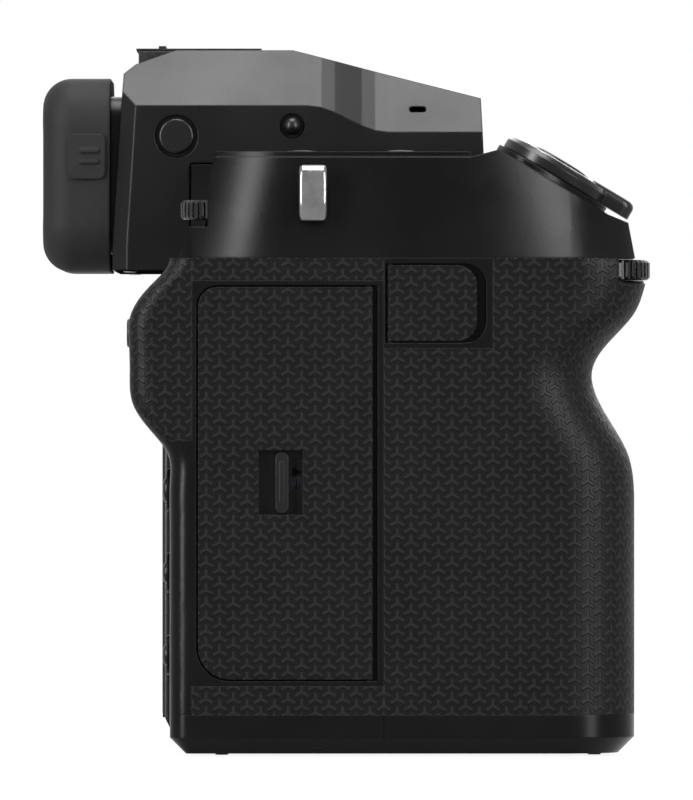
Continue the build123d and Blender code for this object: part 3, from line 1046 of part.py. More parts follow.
def monitor_swing_frame():
    # The thin frame that swings sideways on the two pins beside the recess
    z0, z1 = ARM_AXIS_Z - ARM_BARREL_R, RECESS_TOP_Z - WALL / 2
    x0, x1 = SWING_X, PANEL_X1
    frame = block(x0, x1, SWING_PLATE_Y, SWING_PLATE_Y + SWING_PLATE, ARM_AXIS_Z + 2 * WALL, z1)
    frame = frame - block(PANEL_X0 + 6 * WALL, PANEL_X1 - 6 * WALL, 0, REAR_Y, 8 * WALL, z1 - 6 * WALL)
    for low, high in ((SWING_POST_LOW_Z - GAP - SWING_KNUCKLE_TALL, SWING_POST_LOW_Z - GAP),
                      (SWING_POST_TOP_Z + GAP, SWING_POST_TOP_Z + GAP + SWING_KNUCKLE_TALL)):
        knuckle = rod_z(SWING_KNUCKLE_R, SWING_X, SWING_Y, low, high)
        web = block(SWING_X, SWING_X + SWING_KNUCKLE_R, SWING_PLATE_Y, SWING_Y, low, high)
        frame = frame + knuckle + web
    frame = frame - block(RECESS_X0 - WALL, SWING_X + SWING_KNUCKLE_R + GAP, 0, REAR_Y + WALL,
                          SWING_POST_LOW_Z - GAP, SWING_POST_TOP_Z + GAP)
    frame = frame + rod_z(SWING_PIN_R, SWING_X, SWING_Y, SWING_POST_LOW_Z - GAP - SWING_KNUCKLE_TALL,
                          SWING_POST_TOP_Z + GAP + SWING_KNUCKLE_TALL)
    for x in (PANEL_X0 + HINGE_INSET, PANEL_X1 - HINGE_INSET - HINGE_LONG):
        lug = block(x, x + HINGE_LONG, SWING_PLATE_Y, SWING_PLATE_Y + SWING_PLATE, ARM_AXIS_Z,
                    ARM_AXIS_Z + 3 * WALL)
        lug = lug + block(x, x + HINGE_LONG, SWING_PLATE_Y, ARM_AXIS_Y, ARM_AXIS_Z - ARM_BARREL_R / 2,
                          ARM_AXIS_Z + ARM_BARREL_R / 2)
        lug = lug + rod_x(ARM_BARREL_R, x, x + HINGE_LONG, ARM_AXIS_Y, ARM_AXIS_Z)
        frame = frame + lug
    return frame + rod_x(ARM_PIN_R, PANEL_X0 + HINGE_INSET, PANEL_X1 - HINGE_INSET, ARM_AXIS_Y, ARM_AXIS_Z)


def monitor_arm():
    # The plate that leans out at the top, with an ear at each side for the panel
    z1 = MONITOR_LOW_Z + MONITOR_H - WALL
    x0, x1 = PANEL_X0 - GAP - EAR_THICK, PANEL_X1 + GAP + EAR_THICK
    y0, y1 = ARM_PLATE_Y, ARM_PLATE_Y + ARM_PLATE
    plate = block(x0, x1, y0, y1, z1 - 4 * WALL, z1)
    rail_x0, rail_x1 = PANEL_X0 + HINGE_INSET + HINGE_LONG + GAP, PANEL_X1 - HINGE_INSET - HINGE_LONG - GAP
    plate = plate + block(rail_x0, rail_x0 + 6 * WALL, y0, y1, ARM_AXIS_Z, z1)
    plate = plate + block(rail_x1 - 6 * WALL, rail_x1, y0, y1, ARM_AXIS_Z, z1)
    barrel = rod_x(ARM_BARREL_R, rail_x0, rail_x1, ARM_AXIS_Y, ARM_AXIS_Z)
    plate = plate + barrel - rod_x(ARM_PIN_R + RUN, rail_x0 - WALL, rail_x1 + WALL, ARM_AXIS_Y, ARM_AXIS_Z)
    for x in (x0, x1 - EAR_THICK):
        ear = block(x, x + EAR_THICK, y0, TILT_AXIS_Y, z1 - 4 * WALL, z1 + GAP)
        ear = ear + rod_x(EAR_R, x, x + EAR_THICK, TILT_AXIS_Y, TILT_AXIS_Z)
        ear = ear + block(x, x + EAR_THICK, TILT_AXIS_Y - 2 * EAR_R, TILT_AXIS_Y, TILT_AXIS_Z - 2 * WALL,
                          TILT_AXIS_Z + EAR_R)
        plate = plate + ear
    pins = rod_x(TILT_PIN_R, x0, x0 + EAR_THICK + GAP + WALL, TILT_AXIS_Y, TILT_AXIS_Z)
    pins = pins + rod_x(TILT_PIN_R, x1 - EAR_THICK - GAP - WALL, x1, TILT_AXIS_Y, TILT_AXIS_Z)
    return plate + pins


def monitor_panel():
    panel = block(PANEL_X0, PANEL_X1, MONITOR_FRONT_Y, MONITOR_REAR_Y, MONITOR_LOW_Z,
                  MONITOR_LOW_Z + MONITOR_H)
    rear_low = panel.edges().filter_by(lambda e: e.center().Y > REAR_Y and e.center().Z < ARM_AXIS_Z)
    panel = chamfer(rear_low, 2 * WALL, WALL)
    upright = panel.edges().filter_by(lambda e: e.center().Y > MONITOR_FRONT_Y
                                      + WALL and e.bounding_box().size.Z
                                      > MONITOR_H / 2)
    panel = fillet(upright, WALL / 2)
    groove = rod_x(ARM_BARREL_R + GAP, PANEL_X0 - OVERRUN, PANEL_X1 + OVERRUN, ARM_AXIS_Y, ARM_AXIS_Z)
    panel = panel - groove
    border = MONITOR_BORDER
    window = block(PANEL_X0 + border, PANEL_X1 - border, MONITOR_REAR_Y - WALL / 2, MONITOR_REAR_Y + OVERRUN,
                   MONITOR_LOW_Z + 2 * border, MONITOR_LOW_Z + MONITOR_H - border)
    panel = panel - window
    for x in (PANEL_X0, PANEL_X1 - WALL - GAP):
        panel = panel - rod_x(TILT_PIN_R + RUN, x - GAP, x + WALL + 2 * GAP, TILT_AXIS_Y, TILT_AXIS_Z)
    glass = block(PANEL_X0 + border, PANEL_X1 - border, MONITOR_REAR_Y - WALL / 2, MONITOR_REAR_Y - RUN,
                  MONITOR_LOW_Z + 2 * border, MONITOR_LOW_Z + MONITOR_H - border)
    return Compound(panel.solids() + [glass])


def rear_button(name):
    x, z, r = REAR_BUTTONS[name]
    y0 = REAR_Y - WALL + REAR_TRAVEL + FACE_GAP
    return cap_y(r, x, y0, REAR_Y + REAR_CAP_RISE, z) + rod_y(r / 2, x, y0 - 2 * WALL, y0, z)


def quick_button():
    y0 = QUICK_POCKET_Y + REAR_TRAVEL + FACE_GAP
    return cap_y(QUICK_R, QUICK_X, y0, REAR_Y + THUMB_DEPTH + REAR_TRAVEL, QUICK_Z) + rod_y(
        QUICK_R / 2, QUICK_X, y0 - 2 * WALL, y0, QUICK_Z)


STICK_MID_Y = REAR_Y - WALL
RING_R = STICK_WELL_R - GAP


def stick_ring():
    # The gimbal ring that the focus stick rocks in
    ring = rod_y(RING_R, STICK_X, STICK_MID_Y - GAP, STICK_MID_Y + GAP, STICK_Z)
    return ring - rod_y(RING_R - WALL / 2, STICK_X, STICK_MID_Y - WALL, STICK_MID_Y + WALL, STICK_Z)


def focus_stick():
    base = rod_y(RING_R - WALL, STICK_X, STICK_MID_Y - GAP, STICK_MID_Y + GAP, STICK_Z)
    post = rod_y(STICK_R / 2, STICK_X, STICK_MID_Y, REAR_Y + WALL / 2, STICK_Z)
    return base + post + cap_y(STICK_R, STICK_X, REAR_Y + WALL / 4, REAR_Y + WALL, STICK_Z)


def finder_section(y, inset):
    # Cross-section of the viewfinder unit at y: upright lower walls and walls that lean in above them
    fall = min(max((FINDER_BROW_Y - y) / (FINDER_BROW_Y - FINDER_FRONT_Y), 0), 1)
    share = min(max((FINDER_CURVE_Y - y) / (FINDER_CURVE_Y - FINDER_DIP_Y), 0), 1)
    dip = (1 - math.cos(math.pi * share)) / 2
    top = FINDER_TOP_Z - fall * (FINDER_TOP_Z - FINDER_FRONT_TOP_Z) - inset
    brk = FINDER_BREAK_Z - dip * (FINDER_BREAK_Z - FINDER_FRONT_BREAK_Z) - inset / 2
    half = FINDER_HALF_W - inset
    top_half = half - (top - brk) * FINDER_LEAN
    face = make_face(Polyline((-half, FINDER_LOW_Z), (half, FINDER_LOW_Z), (half, brk), (top_half, top),
                              (-top_half, top), (-half, brk), close=True))
    return Plane((0, y, 0), x_dir=(1, 0, 0), z_dir=(0, -1, 0)) * face


def finder_form(inset):
    rear, front = FINDER_REAR_Y - inset, FINDER_FRONT_Y + inset
    step = (FINDER_CURVE_Y - FINDER_DIP_Y) / FINDER_CURVE_STEPS
    stations = [rear, FINDER_BROW_Y] + [FINDER_CURVE_Y - step
                                        * i for i in range(FINDER_CURVE_STEPS + 1)] + [front]
    form = loft([finder_section(stations[0], inset), finder_section(stations[1], inset)], ruled=True)
    for a, b in zip(stations[1:], stations[2:]):
        form = form + loft([finder_section(a, inset), finder_section(b, inset)], ruled=True)
    low = HUMP_Z + GAP + inset
    side = polygon((rear + RUN, FINDER_LOW_Z + inset), (rear, FINDER_LOW_Z + 2 * WALL),
                   (FINDER_REAR_TOP_Y - inset, FINDER_TOP_Z - 2 * WALL - inset / 2),
                   (FINDER_REAR_TOP_Y - WALL - inset, FINDER_TOP_Z - 1.2 * WALL - inset / 2),
                   (FINDER_ROOF_REAR_Y - inset, FINDER_TOP_Z),
                   (FINDER_BROW_Y, 2 * FINDER_TOP_Z), (front + 3 * WALL, 2 * FINDER_TOP_Z), (front, low),
                   (FINDER_STEP_Y + inset, low), (FINDER_STEP_Y + inset, FINDER_LOW_Z + inset))
    return form & side_slab(side, -FINDER_HALF_W, FINDER_HALF_W)


def shoe_pocket(grow):
    half = SHOE_SLOT_HALF_W + SHOE_SIDE + grow
    deep = SHOE_BASE_TALL + SHOE_SLOT_TALL + SHOE_LIP_TALL
    return block(-half, half, SHOE_FRONT_Y - SHOE_SIDE - grow, REAR_Y * 2, FINDER_TOP_Z - deep,
                 FINDER_TOP_Z + OVERRUN)


def viewfinder_shell():
    outer = finder_form(0)
    corners = outer.edges().filter_by(lambda e: e.center().Y > FINDER_REAR_TOP_Y and e.bounding_box().size.Z > WALL * 4
                                      and abs(e.center().X) > FINDER_HALF_W - WALL)
    outer = chamfer(corners, FINDER_CHAMFER)
    shell = outer - finder_form(FINDER_SHELL)
    shell = shell + (shoe_pocket(FINDER_SHELL) & outer & block(-LEFT_X, LEFT_X, 0, REAR_Y * 2, FINDER_TOP_Z
                     - SHOE_BASE_TALL - SHOE_SLOT_TALL - SHOE_LIP_TALL - FINDER_SHELL, 2 * FINDER_TOP_Z))
    shell = shell - shoe_pocket(0)
    shell = shell - rod_y(EYEPIECE_R, 0, FINDER_REAR_TOP_Y - 2 * WALL, FINDER_REAR_Y + OVERRUN, EYEPIECE_Z)
    foot = block(-RAIL_FOOT_HALF_W, RAIL_FOOT_HALF_W, RAIL_FRONT_Y, FINDER_STEP_Y - GAP, RAIL_LOW_Z,
                 RAIL_STEP_Z - RAIL_FIT)
    neck = block(-RAIL_NECK_HALF_W, RAIL_NECK_HALF_W, RAIL_FRONT_Y, FINDER_STEP_Y - GAP, RAIL_STEP_Z - WALL,
                 HUMP_Z + GAP + WALL / 2)
    shell = shell + foot + neck
    neck_half_w, neck_half_h = EYECUP_W / 2 - 2 * WALL, (EYECUP_TOP_Z - EYECUP_LOW_Z) / 2 - 1.5 * WALL
    mid_z = (EYECUP_TOP_Z + EYECUP_LOW_Z) / 2
    collar = front_slab(round_rect(2 * neck_half_w, 2 * neck_half_h, 2 * WALL, 0, mid_z),
                        FINDER_REAR_TOP_Y - WALL,
                        EYECUP_FRONT_Y)
    collar = collar - front_slab(round_rect(2 * EYEPIECE_R + 2 * WALL, 2 * EYEPIECE_R + WALL, WALL, 0,
                                            EYEPIECE_Z),
                                 FINDER_REAR_TOP_Y - 2 * WALL, EYECUP_FRONT_Y + OVERRUN)
    shell = shell + collar
    wall = -FINDER_HALF_W
    shell = shell - rod_x(VIEW_BUTTON_R + 2 * GAP, wall - OVERRUN, wall + POCKET_DEEP, VIEW_BUTTON_Y,
                          VIEW_BUTTON_Z)
    shell = shell - rod_x(VIEW_BUTTON_R / 3 + RUN, wall - OVERRUN, wall + 2 * WALL, VIEW_BUTTON_Y,
                          VIEW_BUTTON_Z)
    for side in (-1, 1):
        x0, x1, x2 = side * (FINDER_HALF_W + OVERRUN), side * (FINDER_HALF_W
                                                               - POCKET_DEEP), side * (FINDER_HALF_W
                                                                                                 - 2 * WALL)
        shell = shell - rod_x(CATCH_R + 2 * GAP, min(x0, x1), max(x0, x1), CATCH_Y, CATCH_Z)
        shell = shell - rod_x(CATCH_R / 2 + RUN, min(x0, x2), max(x0, x2), CATCH_Y, CATCH_Z)
    shell = shell - rod_x(DIAL_SHAFT_R + RUN, 0, FINDER_HALF_W + OVERRUN, DIOPTER_Y, DIOPTER_Z)
    slot = side_slab(round_rect(MIC_LONG, MIC_TALL, MIC_TALL / 2 - RUN, MIC_Y, MIC_Z), -2 * FINDER_HALF_W,
                     2 * FINDER_HALF_W)
    return shell - slot


def eyepiece_lens():
    # The rear lens of the viewfinder: a thick disc with a domed rear face
    r = EYEPIECE_R - RUN
    y0 = FINDER_REAR_TOP_Y - WALL / 2
    disc = rod_y(r, 0, y0, FINDER_REAR_Y, EYEPIECE_Z)
    dome_r = 3 * EYEPIECE_R
    dome = Pos(0, FINDER_REAR_Y - dome_r - RUN, EYEPIECE_Z) * Sphere(dome_r)
    return disc & dome


def eyecup():
    mid_z = (EYECUP_TOP_Z + EYECUP_LOW_Z) / 2
    tall = EYECUP_TOP_Z - EYECUP_LOW_Z
    cup = front_slab(round_rect(EYECUP_W, tall, EYECUP_ROUND, 0, mid_z), EYECUP_FRONT_Y, EYECUP_REAR_Y)
    rear = cup.edges().filter_by(lambda e: e.bounding_box().min.Y > EYECUP_REAR_Y - RUN)
    cup = fillet(rear, EYECUP_ROUND * 0.6)
    bowl = front_slab(round_rect(EYECUP_W - 4 * WALL, tall - 4 * WALL, EYECUP_ROUND - WALL, 0, mid_z),
                      EYECUP_FRONT_Y + WALL, EYECUP_REAR_Y + OVERRUN)
    cup = cup - bowl
    tunnel = front_slab(round_rect(2 * EYEPIECE_R + 2 * WALL, 2 * EYEPIECE_R - WALL, WALL, 0, EYEPIECE_Z),
                        EYECUP_FRONT_Y - OVERRUN, EYECUP_REAR_Y)
    return cup - tunnel


def view_button():
    wall = -FINDER_HALF_W
    cap = rod_x(VIEW_BUTTON_R, wall - BUTTON_RISE, wall + POCKET_DEEP - REAR_TRAVEL - FACE_GAP, VIEW_BUTTON_Y,
                VIEW_BUTTON_Z)
    cap = soften(cap, BUTTON_RISE, lambda e: e.geom_type == GeomType.CIRCLE and e.center().X < wall)
    return cap + rod_x(VIEW_BUTTON_R / 3, wall, wall + 2 * WALL, VIEW_BUTTON_Y, VIEW_BUTTON_Z)


def finder_catch(side):
    # A domed catch, drawn with the wall at x = 0 and turned to its side
    low_x = REAR_TRAVEL + FACE_GAP - POCKET_DEEP
    dome = Sphere(CATCH_R) - block(-2 * CATCH_R, low_x, -WALL, WALL, -WALL, WALL)
    catch = dome + rod_x(CATCH_R / 2, -2 * WALL, 0, 0, 0)
    return Pos(side * FINDER_HALF_W, CATCH_Y, CATCH_Z) * Rot(0, 0, 90 - 90 * side) * catch


def diopter_dial():
    x0 = FINDER_HALF_W + FACE_GAP
    wheel = Pos(x0 + DIOPTER_TALL / 2, DIOPTER_Y, DIOPTER_Z) * Rot(0, 90, 0) * ribbed_wheel(
        DIOPTER_R, DIOPTER_TALL, 28, RIB_DEEP)
    return wheel + rod_x(DIAL_SHAFT_R, FINDER_HALF_W - 2 * WALL, x0, DIOPTER_Y, DIOPTER_Z)


def accessory_shoe():
    z0 = FINDER_TOP_Z - SHOE_BASE_TALL - SHOE_SLOT_TALL - SHOE_LIP_TALL
    half = SHOE_SLOT_HALF_W + SHOE_SIDE
    y0, y1 = SHOE_FRONT_Y - SHOE_SIDE, SHOE_REAR_Y
    shoe = block(-half, half, y0, y1, z0, FINDER_TOP_Z)
    slot = block(-SHOE_SLOT_HALF_W, SHOE_SLOT_HALF_W, SHOE_FRONT_Y, y1 + OVERRUN, z0 + SHOE_BASE_TALL,
                 z0 + SHOE_BASE_TALL + SHOE_SLOT_TALL)
    lips = block(-SHOE_LIP_HALF_W, SHOE_LIP_HALF_W, SHOE_FRONT_Y, y1 + OVERRUN, z0 + SHOE_BASE_TALL,
                 FINDER_TOP_Z + OVERRUN)
    return shoe - slot - lips


def shoe_cover():
    # The cover in the shoe: a foot under the lips, a plate over them and a low thumb ridge
    z0 = FINDER_TOP_Z - SHOE_SLOT_TALL - SHOE_LIP_TALL + FACE_GAP
    y0, y1 = SHOE_FRONT_Y + FACE_GAP, SHOE_REAR_Y
    foot = block(-SHOE_SLOT_HALF_W + FACE_GAP, SHOE_SLOT_HALF_W - FACE_GAP, y0, y1, z0,
                 z0 + SHOE_SLOT_TALL - 2 * FACE_GAP)
    neck = block(-SHOE_LIP_HALF_W + FACE_GAP, SHOE_LIP_HALF_W - FACE_GAP, y0, y1, z0, FINDER_TOP_Z + FACE_GAP)
    top = block(-SHOE_SLOT_HALF_W, SHOE_SLOT_HALF_W, SHOE_FRONT_Y, y1 + SHOE_SIDE / 3,
                FINDER_TOP_Z + FACE_GAP,
                FINDER_TOP_Z + SHOE_COVER_RISE)
    ridge = block(-SHOE_LIP_HALF_W, SHOE_LIP_HALF_W, SHOE_RIDGE_Y - SHOE_SIDE / 2,
                  SHOE_RIDGE_Y + SHOE_SIDE / 2,
                  FINDER_TOP_Z + SHOE_COVER_RISE / 2, FINDER_TOP_Z + 2 * SHOE_COVER_RISE)
    return foot + neck + top + ridge


def parts():
    found = casing()
    leaves = {"first_curtain_lead": (0, False), "first_curtain_trail": (1, False),
              "second_curtain_lead": (2, True), "second_curtain_trail": (3, True)}
    for name, (layer, upper) in leaves.items():
        found[name] = shutter_leaf(layer, upper)
    for name in REAR_BUTTONS:
        found[name] = rear_button(name)
    found["front_top_button"] = top_button(TOP_BUTTON_YS[0])
    found["rear_top_button"] = top_button(TOP_BUTTON_YS[1])
    found["lower_terminal_cover"] = side_cover(COVER_LOW_Z, LOWER_COVER_TOP_Z)
    found["upper_terminal_cover"] = side_cover(UPPER_COVER_LOW_Z, COVER_TOP_Z)
    found["finder_catch_grip_side"] = finder_catch(-1)
    found["finder_catch_left_side"] = finder_catch(1)
    found["sub_display"] = display_slab(RUN)
    found["battery_latch"] = battery_latch_room(0)
    makers = (top_cover, base_cover, tripod_socket, mount_ring, screws, lens_contacts, chassis, shutter_frame,
              sensor_carriage, sensor_platform, main_board, card_slots, battery, side_jacks, strap_lugs,
              shutter_button, power_lever, front_dial, rear_dial, mode_dial, select_lever, card_door, card_latch,
              terminal_flap, battery_door, lens_release, lens_lock_pin, monitor_swing_frame, monitor_arm,
              monitor_panel, quick_button, stick_ring, focus_stick, viewfinder_shell, eyepiece_lens, eyecup,
              view_button, diopter_dial, accessory_shoe, shoe_cover)
    for maker in makers:
        found[maker.__name__] = maker()
    return found


os.makedirs("parts", exist_ok=True)
for name, shape in parts().items():
    export_step(shape, f"parts/{name}.step")
print("sub-parts written")
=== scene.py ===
import math

import bmesh
import bpy
from mathutils import Matrix, Vector


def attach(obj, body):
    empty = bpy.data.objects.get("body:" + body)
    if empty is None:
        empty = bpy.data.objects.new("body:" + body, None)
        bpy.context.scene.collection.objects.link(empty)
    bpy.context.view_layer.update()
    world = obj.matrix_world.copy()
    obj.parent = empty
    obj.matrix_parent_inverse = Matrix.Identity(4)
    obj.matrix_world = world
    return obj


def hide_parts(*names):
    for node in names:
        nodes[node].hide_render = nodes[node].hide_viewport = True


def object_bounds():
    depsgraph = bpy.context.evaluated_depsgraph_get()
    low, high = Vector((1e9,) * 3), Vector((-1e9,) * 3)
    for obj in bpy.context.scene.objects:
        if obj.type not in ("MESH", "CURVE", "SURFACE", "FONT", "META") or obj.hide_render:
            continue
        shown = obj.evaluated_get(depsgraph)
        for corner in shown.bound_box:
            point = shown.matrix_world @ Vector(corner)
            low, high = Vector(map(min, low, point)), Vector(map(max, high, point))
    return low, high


# A medium format camera body seen from its grip side.
# Lengths are in millimetres and multiplied by MM. Those of the stage and the camera are in metres.
MM = 0.001
UP, FORWARD, REARWARD = (0, 0, 1), (0, -1, 0), (0, 1, 0)

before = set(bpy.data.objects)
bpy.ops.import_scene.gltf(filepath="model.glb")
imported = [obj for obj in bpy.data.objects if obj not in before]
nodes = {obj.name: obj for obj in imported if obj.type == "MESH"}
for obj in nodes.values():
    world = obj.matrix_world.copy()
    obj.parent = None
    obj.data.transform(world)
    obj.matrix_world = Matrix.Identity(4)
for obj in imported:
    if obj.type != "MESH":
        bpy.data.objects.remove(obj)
cad_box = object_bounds()


# Finishes

# Height at which the bends of the side walls' shading have their given places
BEND_Z = 88.0

# A wall counts as a side wall when its normal points this far to the side: not at all, and wholly
SIDE_SHARES = (0.7, 0.95)

# Values of a noise between which a finish changes in roughness
NOISE_SHARES = (0.3, 0.7)

# Samples for each edge that a finish rounds
EDGE_SAMPLES = 4


class Finish:
    # A material under construction: its node tree, with short ways to add and join nodes

    def __init__(self, name, colour, roughness, metallic=0.0, specular=0.5):
        self.material = bpy.data.materials.new(name)
        self.material.use_nodes = True
        self.tree = self.material.node_tree
        self.shader = self.tree.nodes["Principled BSDF"]
        self.shader.inputs["Base Color"].default_value = (*colour, 1)
        self.shader.inputs["Roughness"].default_value = roughness
        self.shader.inputs["Metallic"].default_value = metallic
        self.shader.inputs["Specular IOR Level"].default_value = specular
        self.coords = self.node("ShaderNodeTexCoord").outputs["Object"]

    def node(self, kind, **settings):
        made = self.tree.nodes.new(kind)
        for key, value in settings.items():
            setattr(made, key, value)
        return made

    def feed(self, socket, value):
        if isinstance(value, bpy.types.NodeSocket):
            self.tree.links.new(value, socket)
        else:
            socket.default_value = value

    def calc(self, kind, *values):
        made = self.node("ShaderNodeMath", operation=kind)
        for socket, value in zip(made.inputs, values):
            self.feed(socket, value)
        return made.outputs[0]

    def split(self, vector):
        made = self.node("ShaderNodeSeparateXYZ")
        self.feed(made.inputs[0], vector)
        return made.outputs

    def noise(self, scale, detail=3.0, rough=0.55):
        made = self.node("ShaderNodeTexNoise")
        self.feed(made.inputs["Vector"], self.coords)
        made.inputs["Scale"].default_value = scale
        made.inputs["Detail"].default_value = detail
        made.inputs["Roughness"].default_value = rough
        return made.outputs["Fac"]

    def span(self, value, low, high, to_low, to_high, curve="LINEAR"):
        made = self.node("ShaderNodeMapRange", interpolation_type=curve)
        self.feed(made.inputs["Value"], value)
        limits = {"From Min": low, "From Max": high, "To Min": to_low, "To Max": to_high}
        for socket, limit in limits.items():
            made.inputs[socket].default_value = limit
        return made.outputs["Result"]

    def tint(self, value, dark, light):
        # A colour mix keeps its factor, its two colours and its result at these socket numbers
        made = self.node("ShaderNodeMix", data_type="RGBA")
        self.feed(made.inputs[0], value)
        made.inputs[6].default_value = (*dark, 1)
        made.inputs[7].default_value = (*light, 1)
        self.feed(self.shader.inputs["Base Color"], made.outputs[2])

    def roughness(self, value, low, high):
        self.feed(self.shader.inputs["Roughness"], self.span(value, *NOISE_SHARES, low, high))

    def bowed(self, normal, bends):
        # Turns the normal of the side walls towards front or rear, as a slightly bowed wall would.
        # Each bend has its start and end in y at the height BEND_Z, its amount, and its lean in y.
        place, facing = self.split(self.coords), self.split(normal)
        side = self.span(self.calc("ABSOLUTE", facing[0]), *SIDE_SHARES, 0.0, 1.0)
        above = self.calc("SUBTRACT", place[2], BEND_Z * MM)
        bend = None
        for start, end, amount, lean in bends:
            where = self.calc("ADD", place[1], self.calc("MULTIPLY", above, lean))
            one = self.span(where, start * MM, end * MM, 0.0, amount)
            bend = one if bend is None else self.calc("ADD", bend, one)
        outwards = self.node("ShaderNodeCombineXYZ")
        self.feed(outwards.inputs[1], self.calc("MULTIPLY", bend, side))
        joined = self.node("ShaderNodeVectorMath", operation="ADD")
        self.feed(joined.inputs[0], normal)
        self.feed(joined.inputs[1], outwards.outputs[0])
        unit = self.node("ShaderNodeVectorMath", operation="NORMALIZE")
        self.feed(unit.inputs[0], joined.outputs[0])
        return unit.outputs[0]

    def relief(self, height, depth, rounding, bends=()):
        # Gives the height as a bump of that depth, over edges softened by that radius, in millimetres
        bump = self.node("ShaderNodeBump")
        bump.inputs["Strength"].default_value = 1.0
        bump.inputs["Distance"].default_value = depth * MM
        self.feed(bump.inputs["Height"], height)
        if rounding:
            edge = self.node("ShaderNodeBevel", samples=EDGE_SAMPLES)
            edge.inputs["Radius"].default_value = rounding * MM
            normal = edge.outputs["Normal"]
            self.feed(bump.inputs["Normal"], self.bowed(normal, bends) if bends else normal)
        self.feed(self.shader.inputs["Normal"], bump.outputs["Normal"])


# Scale of the broad noise in which paint differs in tone and gloss
WEAR_SCALE = 60.0


def painted(name, dark, light, roughness, grain, depth, rounding, specular=0.1, bends=()):
    # Paint or moulded plastic with a fine even grain and slight wear in its gloss
    made = Finish(name, dark, roughness, specular=specular)
    fine = made.noise(grain, 2.0)
    broad = made.noise(WEAR_SCALE)
    made.tint(made.span(broad, 0.35, 0.65, 0.0, 1.0), dark, light)
    made.roughness(broad, roughness - 0.05, roughness + 0.06)
    made.relief(fine, depth, rounding, bends)
    return made.material


def metal(name, colour, roughness, scratch_scale=900.0, depth=0.004, rounding=0.2):
    # Bare metal with fine scratches, darker and rougher in them
    made = Finish(name, colour, roughness, metallic=1.0)
    fine = made.noise(scratch_scale, 4.0, 0.7)
    made.tint(made.span(fine, 0.4, 0.6, 0.0, 1.0), tuple(0.82 * c for c in colour), colour)
    made.roughness(fine, roughness - 0.04, roughness + 0.08)
    made.relief(fine, depth, rounding)
    return made.material


def coated_glass(name, colour, roughness=0.06):
    # Dark glass over something black, with a slight haze
    made = Finish(name, colour, roughness, specular=0.2)
    haze = made.noise(35.0, 2.0)
    made.roughness(haze, roughness - 0.02, roughness + 0.04)
    made.tint(made.span(haze, 0.4, 0.6, 0.0, 1.0), colour, tuple(1.2 * c for c in colour))
    return made.material


# The grip's pattern of small three-armed ridges, unrolled round the corners of the casing
PATTERN_PITCH = 2.2
ARM_LONG = 1.02
ARM_HALF_W = 0.17
ARM_EDGE = 0.16
ARM_DEGREES = (90, 210, 330)
PATTERN_DEPTH = 0.22
PORE_SHARE = 0.22
RUBBER_ROUNDING = 0.3

# Corners that the pattern goes round, each with its centre and radius: the grip's nose, the rear
# corner, whose y differs between pieces, and the corner of the connector side
NOSE_X, NOSE_Y, NOSE_R = -72.5, -29.0, 12.0
REAR_X, REAR_R = -80.9, 3.6
LEFT_X, LEFT_Y, LEFT_R = 55.5, 3.0, 7.0

# The rear corner counts behind this y, and the corner of the connector side beyond this x
REAR_FROM_Y, LEFT_FROM_X = 20.0, -38.0

# Turns in radians below this one are counted on past half a turn
SEAM_TURN = -2.2

# Rear corner's centre in y on the rubber skin and on the thumb rest
SKIN_REAR_Y, THUMB_REAR_Y = 30.5, 37.1

# The card door has the pattern only further out than this x, so the latch's well in it is smooth
DOOR_PATTERN_X = -84.2


def unrolled(made, rear_y):
    # Distance along the outline of the body and height, both in millimetres
    x, y, z = (made.calc("DIVIDE", part, MM) for part in made.split(made.coords))
    facing = made.split(made.node("ShaderNodeNewGeometry").outputs["True Normal"])
    nx, ny = facing[0], facing[1]
    flat = made.calc("ADD", made.calc("MULTIPLY", nx, nx), made.calc("MULTIPLY", ny, ny))
    flat = made.calc("MAXIMUM", made.calc("SQRT", flat), 0.001)
    nx, ny = made.calc("DIVIDE", nx, flat), made.calc("DIVIDE", ny, flat)
    turn = made.calc("ARCTAN2", made.calc("MULTIPLY", ny, -1.0), made.calc("MULTIPLY", nx, -1.0))
    past = made.calc("MULTIPLY", made.calc("LESS_THAN", turn, SEAM_TURN), 2 * math.pi)
    turn = made.calc("ADD", turn, past)

    def along(centre_x, centre_y, radius, shift):
        aside = made.calc("SUBTRACT", x, centre_x)
        across = made.calc("MULTIPLY", aside, made.calc("MULTIPLY", ny, -1.0))
        back = made.calc("MULTIPLY", made.calc("SUBTRACT", y, centre_y), nx)
        arc = made.calc("MULTIPLY_ADD", turn, radius, shift)
        return made.calc("ADD", made.calc("ADD", across, back), arc)

    def chosen(first, second, share):
        kept = made.calc("MULTIPLY", first, made.calc("SUBTRACT", 1.0, share))
        return made.calc("ADD", kept, made.calc("MULTIPLY", second, share))

    nose = along(NOSE_X, NOSE_Y, NOSE_R, 0.0)
    rear = along(REAR_X, rear_y, REAR_R, NOSE_Y - rear_y)
    left = along(LEFT_X, LEFT_Y, LEFT_R, 0.0)
    here = chosen(nose, rear, made.calc("GREATER_THAN", y, REAR_FROM_Y))
    return chosen(here, left, made.calc("GREATER_THAN", x, LEFT_FROM_X)), z


